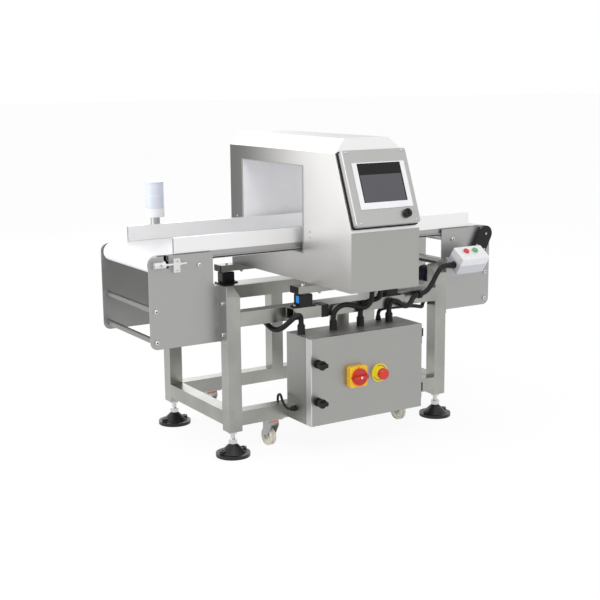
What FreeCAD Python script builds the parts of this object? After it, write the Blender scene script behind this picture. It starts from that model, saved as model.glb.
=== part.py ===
import FreeCAD, Part
import Sketcher
import math
import os
import re

# Conveyor metal detector: a search head with a square tunnel, a flat belt conveyor that runs
# through it, a stainless tube frame on levelling feet and swivel castors, and a control box.
# Millimetres. X runs along the belt, Y across it (the operator's side is -Y), Z is up.
# The origin is on the floor, under the middle of the machine.

doc = FreeCAD.newDocument("conveyor_metal_detector")
dims = doc.addObject("Spreadsheet::Sheet", "dims")
ALIASES = set()


def size(alias, value):
    """Writes one dimension, or the formula of a derived one, into the sheet."""
    row = len(ALIASES) + 1
    dims.set("A%d" % row, alias.replace("_", " "))
    dims.set("B%d" % row, str(value))
    dims.setAlias("B%d" % row, alias)
    ALIASES.add(alias)


SIZES = {
    # ---- frame
    "tube": 50,  # side of the square frame tube
    "tube_wall": 3,  # wall of the frame tube
    "frame_x": 468,  # middle to the outer face of a leg, along the belt
    "frame_y": 256,  # middle to the outer face of a leg, across the belt
    "leg_z": 89,  # floor to the bottom of a leg
    "leg_out_top": 560,  # outer edge of the slanted leg top
    "leg_in_top": 590,  # inner edge of the slanted leg top
    "low_rail_z": 109,  # underside of the lower rails
    "up_rail_z": 456,  # underside of the upper rails
    "beam_deep": 50,  # depth of the damper beams
    "beam_high": 40,  # height of the damper beams
    "beam_half": 237,  # half length of the damper beams
    "strap_x": -123,  # place of the cable strap on the front beam
    "strap_w": 27,  # width of the cable strap
    "strap_t": 2,  # thickness of the cable strap
    # ---- levelling feet
    "foot_r": 60,  # radius of a foot pad
    "foot_rim": 12,  # height of the pad's rubber ring
    "foot_cone_r": 46,  # radius of the pad's cone at its base
    "foot_cone_top": 44,  # top of the pad's cone
    "foot_neck_r": 13,  # radius of the pad's neck
    "foot_lug_x": 40,  # middle of the foot to its anchor bolt hole
    "foot_lug_r": 12,  # radius of the anchor bolt lug
    "foot_hole_r": 6,  # radius of the anchor bolt hole
    "spindle_r": 8,  # radius of the foot spindle
    "spindle_hex": 17,  # hexagon of the spindle, to its corner
    "spindle_hex_h": 16,  # height of the spindle's hexagon
    "spindle_in": 45,  # length of the spindle inside the leg
    "insert_h": 25,  # height of the threaded insert in the leg
    "thread_gap": 0.05,  # radial clearance of a thread, pin or shaft
    "nut_h": 9,  # height of the lock nut
    # ---- castors
    "castor_x": 285,  # middle to the swivel axis of a castor
    "castor_plate": 64,  # length of the castor's top plate
    "castor_plate_t": 4,  # thickness of the castor's top plate
    "castor_ring_r": 23,  # radius of the castor's swivel head
    "castor_ring_h": 9,  # height of the castor's swivel head
    "castor_trail": 25,  # swivel axis to the wheel axle
    "wheel_r": 32.5,  # radius of a castor wheel
    "wheel_w": 26,  # width of a castor wheel
    "wheel_lift": 4,  # floor to the raised castor wheel
    "fork_t": 3,  # sheet thickness of the castor fork
    "fork_gap": 1.5,  # wheel to the fork arm, each side
    "axle_r": 5,  # radius of the castor axle
    # ---- end side plates
    "plate_y": 200.7,  # middle to the outer face of an end side plate
    "plate_t": 3,  # thickness of an end side plate
    "plate_in_x": 489,  # inner edge of a side plate above its notch
    "plate_notch": 596,  # height of the notch at a side plate's inner edge
    "plate_bottom": 402,  # lower edge of a side plate
    "plate_lobe": 34.5,  # roller axis to the outer edge of a side plate
    "plate_rise": 28.5,  # roller axis to the top edge of a side plate
    "plate_round": 26,  # corner radius of a side plate
    "rod_x": 704,  # middle to the spacer rods
    "rod_high": 531.4,  # height of the upper spacer rod
    "rod_low": 427,  # height of the lower spacer rod
    "rod_r": 10,  # radius of a spacer rod
    "bolt_r": 4,  # radius of a bolt shank
    "bolt_head_r": 7.5,  # radius of a bolt head
    "bolt_head_h": 5.5,  # height of a bolt head
    "tie_z": 588,  # underside of the tie bar between two side plates
    "tie_h": 11,  # height of the tie bar
    "tie_w": 30,  # width of the tie bar
    # ---- belt, rollers and bed
    "belt_top": 715.3,  # floor to the top of the belt
    "belt_t": 2,  # thickness of the belt
    "belt_half": 183,  # half width of the belt
    "run_gap": 0.3,  # running gap between the belt and what carries it
    "roller_x": 691.5,  # middle to the axis of an end roller
    "roller_r": 28.5,  # radius of an end roller
    "roller_half": 195,  # half length of an end roller
    "tail_shaft_r": 6,  # radius of the tail roller's shaft
    "drive_shaft_r": 10,  # radius of the drive roller's shaft
    "snub_x": 541.5,  # middle to the axis of a snub roller
    "snub_z": 673.6,  # height of the snub roller axis
    "snub_r": 12.5,  # radius of a snub roller
    "snub_shaft_r": 5,  # radius of a snub roller's shaft
    "bed_half": 655,  # half length of the slider bed
    "bed_t": 3,  # sheet thickness of the slider bed
    "bed_foot_z": 695,  # underside of the slider bed's side flange
    "rail_y": 190,  # middle to the outer face of a guide rail
    "rail_t": 11,  # thickness of a guide rail
    "rail_h": 53,  # height of a guide rail
    "rail_half": 627,  # half length of a guide rail
    "rail_lift": 0.7,  # top of the belt to the underside of a guide rail
    "rail_wall": 1.5,  # sheet thickness of a guide rail
    # ---- belt tensioners
    "slot_drop_x": 661,  # middle to the drop-in slot of the tail roller
    "slot_drop_w": 18,  # width of the drop-in slot
    "slot_extra": 7,  # height of the slot beyond the shaft
    "block_l": 40,  # length of an axle block
    "block_r": 12,  # radius of an axle block
    "block_w": 19,  # width of an axle block across the plate
    "screw_end_x": 592,  # middle to the inner end of a tension screw
    "screw_r": 4,  # radius of a tension screw
    "stop_x": 618,  # middle to the inner face of the stop block
    "stop_l": 24,  # length of the stop block
    "stop_low": 658,  # underside of the stop block
    "stop_h": 46,  # height of the stop block
    "stop_w": 16,  # width of the stop block
    # ---- drive
    "motor_x": 634.8,  # middle to the gearbox output shaft
    "motor_z": 572,  # height of the gearbox output shaft
    "pulley_r": 18,  # radius of both toothed pulleys
    "pulley_w": 11,  # width of a toothed pulley
    "timing_t": 3,  # thickness of the toothed belt
    "cover_r": 31,  # end radius of the drive cover
    "cover_deep": 18.5,  # depth of the drive cover
    "cover_wall": 2,  # wall of the drive cover
    "gear_r": 48,  # end radius of the gearbox casing
    "gear_deep": 62,  # depth of the gearbox casing
    "gear_drop": 94,  # output shaft to the motor axis, downwards
    "gear_shift": 14,  # output shaft to the motor axis, outwards
    "out_shaft_r": 8,  # radius of the gearbox output shaft
    "motor_r": 44,  # radius of the motor
    "motor_l": 190,  # length of the motor's ribbed body
    "fan_l": 58,  # length of the motor's fan cowl
    "cooling_rib": 3,  # height of a cooling rib on the motor
    # ---- head carrier
    "damper_inset": 34,  # end of an arm to the axis of its damper
    "damper_foot_l": 82,  # length of a damper's base plate
    "damper_foot_w": 48,  # width of a damper's base plate
    "damper_foot_t": 5,  # thickness of a damper's base plate
    "damper_l": 54,  # length of a damper's body
    "damper_w": 46,  # width of a damper's body
    "damper_h": 40,  # height of a damper's body
    "damper_round": 7,  # corner radius of a damper's body
    "damper_stud_h": 4,  # gap between a damper's body and the arm
    "arm_w": 50,  # width of a head carrier arm
    "arm_h": 24,  # height of a head carrier arm
    "arm_half": 217,  # half length of a head carrier arm
    "arm_wall": 2.5,  # wall of a head carrier arm
    "plug_t": 4,  # thickness of an arm's end plug
    "head_bolt_x": 115,  # middle to the bolt that holds the head on an arm
    # ---- search head
    "head_half": 139.5,  # half length of the search head along the belt
    "head_front": 513,  # middle to the front of the search head
    "head_back": 308,  # middle to the back of the search head
    "head_high": 504,  # height of the search head
    "head_bend": 201.6,  # underside of the head to the foot of its sloped front
    "slope": 21.2,  # slope of the upper front, from the vertical, in degrees
    "chamfer_w": 49.5,  # width of the chamfer on the long top edges
    "chamfer_h": 47.7,  # height of the chamfer on the long top edges
    "head_wall": 3,  # sheet thickness of the search head
    "tunnel_w": 425,  # clear width of the tunnel
    "tunnel_h": 299.6,  # clear height of the tunnel
    "tunnel_sill": 683,  # floor to the sill of the tunnel
    "liner_t": 4,  # thickness of the tunnel's liner
    "coil_deep": 38,  # height of the coil pack round the tunnel
    "coil_half": 95,  # half length of the coil pack
    # ---- operator panel, on the slope
    "panel_w": 262,  # width of the operator panel
    "panel_s": 13,  # foot of the slope to the lower edge of the panel
    "panel_h": 262,  # height of the operator panel along the slope
    "panel_deep": 22,  # depth of the operator panel
    "panel_wall": 2,  # sheet thickness of the operator panel
    "panel_round": 9,  # corner radius of the operator panel
    "gasket_t": 6,  # thickness of the panel gasket
    "gasket_over": 3,  # overhang of the gasket past the panel
    "bezel_x": 4.5,  # middle of the panel to the middle of the display
    "bezel_w": 213,  # width of the display bezel
    "bezel_s": 69,  # foot of the slope to the display bezel
    "bezel_h": 160,  # height of the display bezel
    "bezel_t": 3,  # thickness of the display bezel
    "screen_w": 177,  # width of the display glass
    "screen_h": 135,  # height of the display glass
    "screen_up": 22,  # lower edge of the bezel to the display glass
    "key_x": 78,  # middle of the panel to the key switch
    "key_s": 46,  # foot of the slope to the key switch
    "key_r": 15,  # radius of the key switch
    "key_out": 11,  # stand-out of the key switch
    # ---- control box
    "box_cx": -1.2,  # middle of the machine to the middle of the control box
    "box_w": 470.7,  # width of the control box
    "box_z": 112,  # underside of the control box
    "box_h": 305.4,  # height of the control box
    "box_deep": 121.8,  # depth of the box shell
    "box_wall": 2,  # sheet thickness of the box
    "seal_t": 2.2,  # thickness of the door seal
    "seal_w": 9,  # width of the door seal
    "door_deep": 32,  # depth of the door
    "door_wall": 2,  # sheet thickness of the door
    "hinge_r": 5.5,  # radius of a door hinge's knuckle
    "hinge_out": 7,  # side of the box to the hinge axis
    "hinge_h": 58,  # height of a door hinge
    "hinge_pin_r": 2.5,  # radius of a hinge pin
    "hinge_low": 140,  # underside of the lower hinge
    "hinge_high": 341,  # underside of the upper hinge
    "lock_inset": 25.55,  # side of the control box to the axis of the door locks
    "lock_high": 331,  # height of the upper door lock
    "lock_low": 198,  # height of the lower door lock
    "lock_r": 16,  # radius of a door lock's knob
    "lock_out": 46,  # stand-out of a door lock's knob
    "switch_x": -54,  # middle of the main switch plate
    "switch_z": 268,  # height of the main switch
    "switch_w": 72,  # width of the main switch plate
    "switch_h": 74,  # height of the main switch plate
    "switch_t": 23,  # depth of the main switch base
    "handle_r": 30,  # radius of the main switch handle's boss
    "handle_out": 18,  # depth of the main switch handle
    "stop_axis_x": 48,  # place of the emergency stop
    "stop_axis_z": 264,  # height of the emergency stop
    "stop_disc_r": 33,  # radius of the emergency stop's disc
    "stop_head_r": 20,  # radius of the emergency stop's head
    "stop_travel": 6,  # travel of the emergency stop
    # ---- button station
    "station_x": 495,  # left side of the button station
    "station_y": -283,  # lower front edge of the button station
    "station_z": 551,  # height of the button station's lower front edge
    "leaf_inset": 10,  # side of the button station to its bracket
    "leaf_drop": 80,  # height of the bracket on the end plate
    "station_tilt": 34,  # tilt of the button station's face, in degrees
    "station_w": 130,  # width of the button station
    "station_l": 71,  # length of the button station's face
    "station_base_h": 41,  # height of the station's base
    "station_lid_h": 32,  # height of the station's lid
    "station_round": 4,  # corner radius of the button station
    "button_r": 11,  # radius of a push button
    "button_out": 7,  # stand-out of a push button
    "button_travel": 3,  # travel of a push button
    "ring_r": 15,  # radius of a push button's ring
    "ring_h": 4,  # height of a push button's ring
    "button_first": 38,  # side of the station to the stop button
    "button_pitch": 42,  # stop button to start button
    "button_up": 40,  # lower edge of the face to the buttons
    # ---- conduit glands, clip and earth lead
    "hose_r": 9.5,  # radius of a corrugated conduit
    "thin_hose_r": 7,  # radius of the motor conduit
    "lead_r": 4.5,  # radius of the earth lead
    "gland_r": 15,  # hexagon of a conduit gland, to its corner
    "gland_h": 36,  # height of a conduit gland
    "gland_y": -318,  # place of the conduit glands on the control box
    # ---- signal lamp
    "lamp_x": -495,  # place of the signal lamp along the belt
    "lamp_y": 236,  # place of the signal lamp across the belt
    "lamp_r": 34.5,  # radius of the signal lamp
    "lamp_z": 790,  # underside of the signal lamp
    "lamp_base_h": 34,  # height of the lamp's base
    "lens_h": 44,  # height of one lens
    "lamp_cap_h": 6,  # height of the lamp's cap
    "stem_r": 17,  # radius of the lamp's stem
    "stem_foot_z": 640,  # underside of the lamp's stem
}
for alias, value in SIZES.items():
    size(alias, value)


def E(text):
    """The expression with each size read from the sheet."""
    return re.sub(r"[A-Za-z_]\w*", lambda m: "dims." + m.group(0) if m.group(0) in ALIASES else m.group(0), text)


# ---- sizes that follow from the others
DERIVED = {
    "low_rail_top": "low_rail_z + tube",  # top of the lower rails
    "up_rail_top": "up_rail_z + tube",  # top of the upper rails
    "frame_in_x": "frame_x - tube",  # middle to the inner face of a leg, along the belt
    "frame_in_y": "frame_y - tube",  # middle to the inner face of a leg, across the belt
    "leg_cx": "frame_x - tube / 2",  # middle to the axis of a leg, along the belt
    "leg_cy": "frame_y - tube / 2",  # middle to the axis of a leg, across the belt
    "damper_x": "arm_half - damper_inset",  # middle to the axis of a damper
    "damper_y": "frame_y + beam_deep / 2",  # middle to the axis of a damper
    "arm_z": "up_rail_top + damper_foot_t + damper_h + damper_stud_h",  # underside of the arms
    "head_z": "arm_z + arm_h",  # underside of the search head
    "head_top": "head_z + head_high",  # top of the search head
    "bend_z": "head_z + head_bend",  # foot of the sloped front
    "head_run": "(head_high - head_bend) * tan(slope)",  # run of the sloped front
    "tunnel_top": "tunnel_sill + tunnel_h",  # top of the tunnel
    "roller_z": "belt_top - belt_t - run_gap - roller_r",  # height of the end roller axes
    "plate_in_y": "plate_y - plate_t",  # middle to the inner face of a side plate
    "plate_end": "roller_x + plate_lobe",  # middle to the outer edge of a side plate
    "plate_top": "roller_z + plate_rise",  # top edge of a side plate
    "bed_top": "belt_top - belt_t - run_gap",  # top of the slider bed
    "rail_z": "belt_top + rail_lift",  # underside of the guide rails
    "box_left": "box_cx - box_w / 2",  # left side of the control box
    "box_right": "box_cx + box_w / 2",  # right side of the control box
    "box_top": "box_z + box_h",  # top of the control box
    "box_front": "-(frame_y + box_deep)",  # front rim of the box shell
    "door_back": "box_front - seal_t",  # back rim of the door
    "door_front": "door_back - door_deep",  # front face of the door
    "hinge_x": "box_right + hinge_out",  # place of the door's hinge axis
    "hinge_y": "door_back - door_deep / 2",  # place of the door's hinge axis
    "wheel_z": "wheel_lift + wheel_r",  # height of a castor wheel's axle
    "fork_half": "wheel_w / 2 + fork_gap + fork_t",  # half width of a castor fork
    "panel_out": "gasket_t + panel_deep",  # front of the operator panel above the slope
    "cover_front": "plate_y + cover_deep",  # middle to the front of the drive cover
    "lock_x": "box_left + lock_inset",  # axis of the door locks
}
for alias, formula in DERIVED.items():
    size(alias, "=" + formula)
doc.recompute()


def val(text):
    return float(dims.evalExpression(E(str(text))))


def bind(obj, prop, text):
    obj.setExpression(prop, E(str(text)))


def at(obj, x, y, z):
    bind(obj, "Placement.Base.x", x)
    bind(obj, "Placement.Base.y", y)
    bind(obj, "Placement.Base.z", z)
    return obj


TURN = {"X": FreeCAD.Rotation(FreeCAD.Vector(0, 1, 0), 90), "Y": FreeCAD.Rotation(FreeCAD.Vector(1, 0, 0), -90),
        "Z": FreeCAD.Rotation()}


def box(name, x, y, z, dx, dy, dz):
    o = doc.addObject("Part::Box", name)
    bind(o, "Length", dx)
    bind(o, "Width", dy)
    bind(o, "Height", dz)
    return at(o, x, y, z)


def rod(name, x, y, z, r, length, axis="Z"):
    o = doc.addObject("Part::Cylinder", name)
    bind(o, "Radius", r)
    bind(o, "Height", length)
    o.Placement = FreeCAD.Placement(FreeCAD.Vector(), TURN[axis])
    return at(o, x, y, z)


def cone(name, x, y, z, r_low, r_high, length, axis="Z"):
    o = doc.addObject("Part::Cone", name)
    bind(o, "Radius1", r_low)
    bind(o, "Radius2", r_high)
    bind(o, "Height", length)
    o.Placement = FreeCAD.Placement(FreeCAD.Vector(), TURN[axis])
    return at(o, x, y, z)


def hexagon(name, x, y, z, r, length, axis="Z"):
    o = doc.addObject("Part::Prism", name)
    o.Polygon = 6
    bind(o, "Circumradius", r)
    bind(o, "Height", length)
    o.Placement = FreeCAD.Placement(FreeCAD.Vector(), TURN[axis])
    return at(o, x, y, z)


def fuse(name, parts):
    o = doc.addObject("Part::MultiFuse", name)
    o.Shapes = parts
    return o


def group(name, parts):
    o = doc.addObject("Part::Compound", name)
    o.Links = parts
    return o


def cut(name, base, *tools):
    o = doc.addObject("Part::Cut", name)
    o.Base = base
    o.Tool = tools[0] if len(tools) == 1 else group(name + "_tools", list(tools))
    return o


def mirror(name, source, axis):
    o = doc.addObject("Part::Mirroring", name)
    o.Source = source
    o.Base = FreeCAD.Vector(0, 0, 0)
    o.Normal = {"X": FreeCAD.Vector(1, 0, 0), "Y": FreeCAD.Vector(0, 1, 0)}[axis]
    return o


def both(name, source, axis):
    return group(name, [source, mirror(name + "_other", source, axis)])


def four(name, source):
    pair = both(name + "_pair", source, "X")
    return both(name, pair, "Y")


PLANE_TURN = {"XY": FreeCAD.Rotation(), "XZ": FreeCAD.Rotation(FreeCAD.Vector(1, 0, 0), 90),
              "YZ": FreeCAD.Rotation(FreeCAD.Vector(1, 1, 1), 120)}


def fix(sketch, geo, pos, x, y):
    """Holds a sketch point at two expressions."""
    for kind, text, axis in (("DistanceX", x, -2), ("DistanceY", y, -1)):
        if abs(val(text)) < 1e-9:
            sketch.addConstraint(Sketcher.Constraint("PointOnObject", geo, pos, axis))
        else:
            index = sketch.addConstraint(Sketcher.Constraint(kind, -1, 1, geo, pos, val(text)))
            bind(sketch, "Constraints[%d]" % index, text)


def polygon(sketch, points):
    """A closed outline whose corners are pairs of expressions."""
    places = [FreeCAD.Vector(val(x), val(y), 0) for x, y in points]
    count = len(points)
    first = sketch.GeometryCount
    for i in range(count):
        sketch.addGeometry(Part.LineSegment(places[i], places[(i + 1) % count]))
    for i in range(count):
        sketch.addConstraint(Sketcher.Constraint("Coincident", first + i, 2, first + (i + 1) % count, 1))
    for i in range(count):
        fix(sketch, first + i, 1, points[i][0], points[i][1])


def circle(sketch, x, y, r):
    geo = sketch.addGeometry(Part.Circle(FreeCAD.Vector(val(x), val(y), 0), FreeCAD.Vector(0, 0, 1), val(r)))
    fix(sketch, geo, 3, x, y)
    index = sketch.addConstraint(Sketcher.Constraint("Radius", geo, val(r)))
    bind(sketch, "Constraints[%d]" % index, r)


def joined(sketch, arcs, lines):
    """A closed tangent outline of arcs and lines, taken in turn: arc, line, arc, line and so on.
    Each arc is (x, y, r, start angle, end angle, turns left)."""
    geos = []
    ends = []
    for x, y, r, a, b, left in arcs:
        centre = FreeCAD.Vector(val(x), val(y), 0)
        whole = Part.Circle(centre, FreeCAD.Vector(0, 0, 1), val(r))
        low, high = (a, b) if left else (b, a)
        geo = sketch.addGeometry(Part.ArcOfCircle(whole, low, high))
        fix(sketch, geo, 3, x, y)
        index = sketch.addConstraint(Sketcher.Constraint("Radius", geo, val(r)))
        bind(sketch, "Constraints[%d]" % index, r)
        spot = [centre + FreeCAD.Vector(val(r) * math.cos(t), val(r) * math.sin(t), 0) for t in (a, b)]
        geos.append((geo, 1 if left else 2, 2 if left else 1))
        ends.append(spot)
    count = len(geos)
    for i in range(count):
        j = (i + 1) % count
        if lines[i]:
            line = sketch.addGeometry(Part.LineSegment(ends[i][1], ends[j][0]))
            sketch.addConstraint(Sketcher.Constraint("Tangent", geos[i][0], geos[i][2], line, 1))
            sketch.addConstraint(Sketcher.Constraint("Tangent", line, 2, geos[j][0], geos[j][1]))


def slot(sketch, x1, y1, x2, y2, r):
    """A slot outline round two centres."""
    along = math.atan2(val(y2) - val(y1), val(x2) - val(x1))
    arcs = [(x1, y1, r, along + math.pi / 2, along + 1.5 * math.pi, True),
            (x2, y2, r, along - math.pi / 2, along + math.pi / 2, True)]
    joined(sketch, arcs, [True, True])


def plane_sketch(name, plane, offset, draw, *args):
    s = doc.addObject("Sketcher::SketchObject", name)
    s.Placement = FreeCAD.Placement(FreeCAD.Vector(), PLANE_TURN[plane])
    draw(s, *args)
    bind(s, "Placement.Base." + {"XY": "z", "XZ": "y", "YZ": "x"}[plane], offset)
    return s


def extrude(name, sketch, length):
    """Pushes a sketch along its own normal: +Z, -Y or +X."""
    o = doc.addObject("Part::Extrusion", name)
    o.Base = sketch
    o.DirMode = "Normal"
    o.Solid = True
    bind(o, "LengthFwd", length)
    return o


def prism(name, plane, offset, points, length):
    return extrude(name, plane_sketch(name + "_outline", plane, offset, polygon, points), length)


def slab(name, plane, offset, x1, y1, x2, y2, r, length):
    return extrude(name, plane_sketch(name + "_outline", plane, offset, slot, x1, y1, x2, y2, r), length)


def turned(name, x, y, z, points):
    """A body of revolution about a vertical axis, from (radius, height) corners."""
    s = doc.addObject("Sketcher::SketchObject", name + "_outline")
    s.Placement = FreeCAD.Placement(FreeCAD.Vector(), PLANE_TURN["XZ"])
    polygon(s, points)
    o = doc.addObject("Part::Revolution", name)
    o.Source = s
    o.Axis = FreeCAD.Vector(0, 0, 1)
    o.Base = FreeCAD.Vector(0, 0, 0)
    o.Angle = 360
    o.Solid = True
    return at(o, x, y, z)


def body(name, plane, offset, points, length, rounds=(), crown="", holes=(), windows=()):
    """A PartDesign body: a padded outline, rounded at chosen corners and round its far face, with holes through it."""
    b = doc.addObject("PartDesign::Body", name)
    base = [f for f in b.Origin.OriginFeatures if f.Role == plane + "_Plane"][0]
    sign = -1 if plane == "XZ" else 1

    def outline(label, draw, *args):
        s = b.newObject("Sketcher::SketchObject", name + label)
        s.AttachmentSupport = [(base, "")]
        s.MapMode = "FlatFace"
        draw(s, *args)
        bind(s, "AttachmentOffset.Base.z", offset if sign > 0 else "-(%s)" % offset)
        return s

    profile = outline("_outline", polygon, points)
    pad = b.newObject("PartDesign::Pad", name + "_pad")
    pad.Profile = profile
    bind(pad, "Length", length)
    doc.recompute()
    last = pad
    for k, (radius, corners) in enumerate(rounds):
        spots = [FreeCAD.Vector(val(points[c][0]), val(points[c][1]), 0) for c in corners]
        turn = FreeCAD.Placement(FreeCAD.Vector(), PLANE_TURN[plane]).inverse()
        names = []
        for i, edge in enumerate(last.Shape.Edges):
            ends = [turn.multVec(v.Point) for v in edge.Vertexes]
            for spot in spots:
                if len(ends) == 2 and all(math.hypot(p.x - spot.x, p.y - spot.y) < 1e-4 for p in ends):
                    names.append("Edge%d" % (i + 1))
        fillet = b.newObject("PartDesign::Fillet", name + "_round%d" % k)
        fillet.Base = (last, names)
        bind(fillet, "Radius", radius)
        doc.recompute()
        last = fillet
    if crown:
        far = val(offset) + sign * val(length)
        axis = {"XY": 2, "XZ": 1, "YZ": 0}[plane]
        names = ["Edge%d" % (i + 1) for i, edge in enumerate(last.Shape.Edges)
                 if all(abs(v.Point[axis] - far) < 1e-4 for v in edge.Vertexes)]
        fillet = b.newObject("PartDesign::Fillet", name + "_crown")
        fillet.Base = (last, names)
        bind(fillet, "Radius", crown)
        doc.recompute()
        last = fillet
    if holes or windows:
        def draw(s):
            for x, y, r in holes:
                circle(s, x, y, r)
            for window in windows:
                polygon(s, window)
        openings = outline("_openings", draw)
        pocket = b.newObject("PartDesign::Pocket", name + "_cut")
        pocket.Profile = openings
        pocket.Type = 1
        pocket.Midplane = True
        doc.recompute()
        last = pocket
    b.Tip = last
    return b


OUT = []


def node(label, obj):
    """Names a finished piece; its file takes the same name."""
    obj.Label = label
    OUT.append(obj)
    return obj


# ---- frame: legs with slanted tops, rails, middle posts and the two damper beams
def leg():
    outer = [("-frame_y", "leg_z"), ("-frame_in_y", "leg_z"), ("-frame_in_y", "leg_in_top"), ("-frame_y", "leg_out_top")]
    wall = "tube_wall"
    inner = [("-frame_y + %s" % wall, "leg_z"), ("-frame_in_y - %s" % wall, "leg_z"),
             ("-frame_in_y - %s" % wall, "leg_in_top - 2 * %s" % wall),
             ("-frame_y + %s" % wall, "leg_out_top - %s / 2" % wall)]
    shell = prism("leg_outer", "YZ", "frame_in_x", outer, "tube")
    hollow = prism("leg_hollow", "YZ", "frame_in_x + tube_wall", inner, "tube - 2 * tube_wall")
    insert = cut("leg_insert",
                 box("leg_insert_block", "frame_in_x + tube_wall", "-frame_y + tube_wall", "leg_z",
                     "tube - 2 * tube_wall", "tube - 2 * tube_wall", "insert_h"),
                 rod("leg_insert_bore", "leg_cx", "-leg_cy", "leg_z", "spindle_r + thread_gap", "insert_h"))
    return group("leg", [cut("leg_tube", shell, hollow), insert])


node("frame_legs", four("frame_legs", leg()))


def tube_x(name, x, y, z, length, deep="tube", high="tube", wall="tube_wall"):
    outer = box(name + "_outer", x, y, z, length, deep, high)
    inner = box(name + "_inner", x, y + " + " + wall, z + " + " + wall, length,
                "%s - 2 * %s" % (deep, wall), "%s - 2 * %s" % (high, wall))
    return cut(name, outer, inner)


def tube_y(name, x, y, z, length):
    outer = box(name + "_outer", x, y, z, "tube", length, "tube")
    inner = box(name + "_inner", x + " + tube_wall", y, z + " + tube_wall", "tube - 2 * tube_wall", length,
                "tube - 2 * tube_wall")
    return cut(name, outer, inner)


near_rails = [tube_x("near_low_rail", "-frame_in_x", "-frame_y", "low_rail_z", "2 * frame_in_x"),
              tube_x("near_up_rail", "-frame_in_x", "-frame_y", "up_rail_z", "2 * frame_in_x"),
              tube_x("near_beam", "-beam_half", "-(frame_y + beam_deep)", "up_rail_top - beam_high",
                     "2 * beam_half", "beam_deep", "beam_high"),
              cut("near_post", box("near_post_outer", "-tube / 2", "-frame_y", "low_rail_top", "tube", "tube",
                                   "up_rail_z - low_rail_top"),
                  box("near_post_inner", "-tube / 2 + tube_wall", "-frame_y + tube_wall", "low_rail_top",
                      "tube - 2 * tube_wall", "tube - 2 * tube_wall", "up_rail_z - low_rail_top"))]
end_rails = [tube_y("right_low_rail", "frame_in_x", "-frame_in_y", "low_rail_z", "2 * frame_in_y"),
             tube_y("right_up_rail", "frame_in_x", "-frame_in_y", "up_rail_z", "2 * frame_in_y")]
node("frame_rails", group("frame_rails", [both("side_rails", group("near_rails", near_rails), "Y"),
                                          both("end_rails", group("end_rail_pair", end_rails), "X")]))


# ---- levelling feet
def foot(name, sx, sy):
    cx, cy = sx + "leg_cx", sy + "leg_cy"
    pad = turned(name + "_cone", cx, cy, "0", [("0", "0"), ("foot_r", "0"), ("foot_r", "foot_rim"),
                                             ("foot_cone_r", "foot_rim"), ("foot_neck_r", "foot_cone_top"),
                                             ("0", "foot_cone_top")])
    lugs = [rod(name + "_lug%d" % k, cx + s + "foot_lug_x", cy, "0", "foot_lug_r", "foot_rim * 2")
            for k, s in enumerate((" + ", " - "))]
    holes = [rod(name + "_hole%d" % k, cx + s + "foot_lug_x", cy, "0", "foot_hole_r", "foot_rim * 2")
             for k, s in enumerate((" + ", " - "))]
    base = cut(name + "_pad", fuse(name + "_body", [pad] + lugs), *holes)
    nut = hexagon(name + "_hex", cx, cy, "foot_cone_top", "spindle_hex", "spindle_hex_h")
    stem = rod(name + "_stem", cx, cy, "foot_cone_top", "spindle_r", "leg_z - foot_cone_top + spindle_in")
    node(name, group(name, [base, fuse(name + "_spindle", [nut, stem])]))


for name, sx, sy in (("foot_near_infeed", "-", "-"), ("foot_near_outfeed", "", "-"),
                     ("foot_far_infeed", "-", ""), ("foot_far_outfeed", "", "")):
    foot(name, sx, sy)

BOLTS = []
lock_nut = cut("lock_nut", hexagon("lock_nut_body", "leg_cx", "-leg_cy", "leg_z - nut_h", "spindle_hex", "nut_h"),
               rod("lock_nut_bore", "leg_cx", "-leg_cy", "leg_z - nut_h", "spindle_r + thread_gap", "nut_h"))
BOLTS.append(four("lock_nuts", lock_nut))

# ---- castors: each fork swivels under its plate and each wheel turns on its axle
plate_low = "low_rail_z - castor_plate_t"
ring_low = "low_rail_z - castor_plate_t - run_gap - castor_ring_h"


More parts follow.
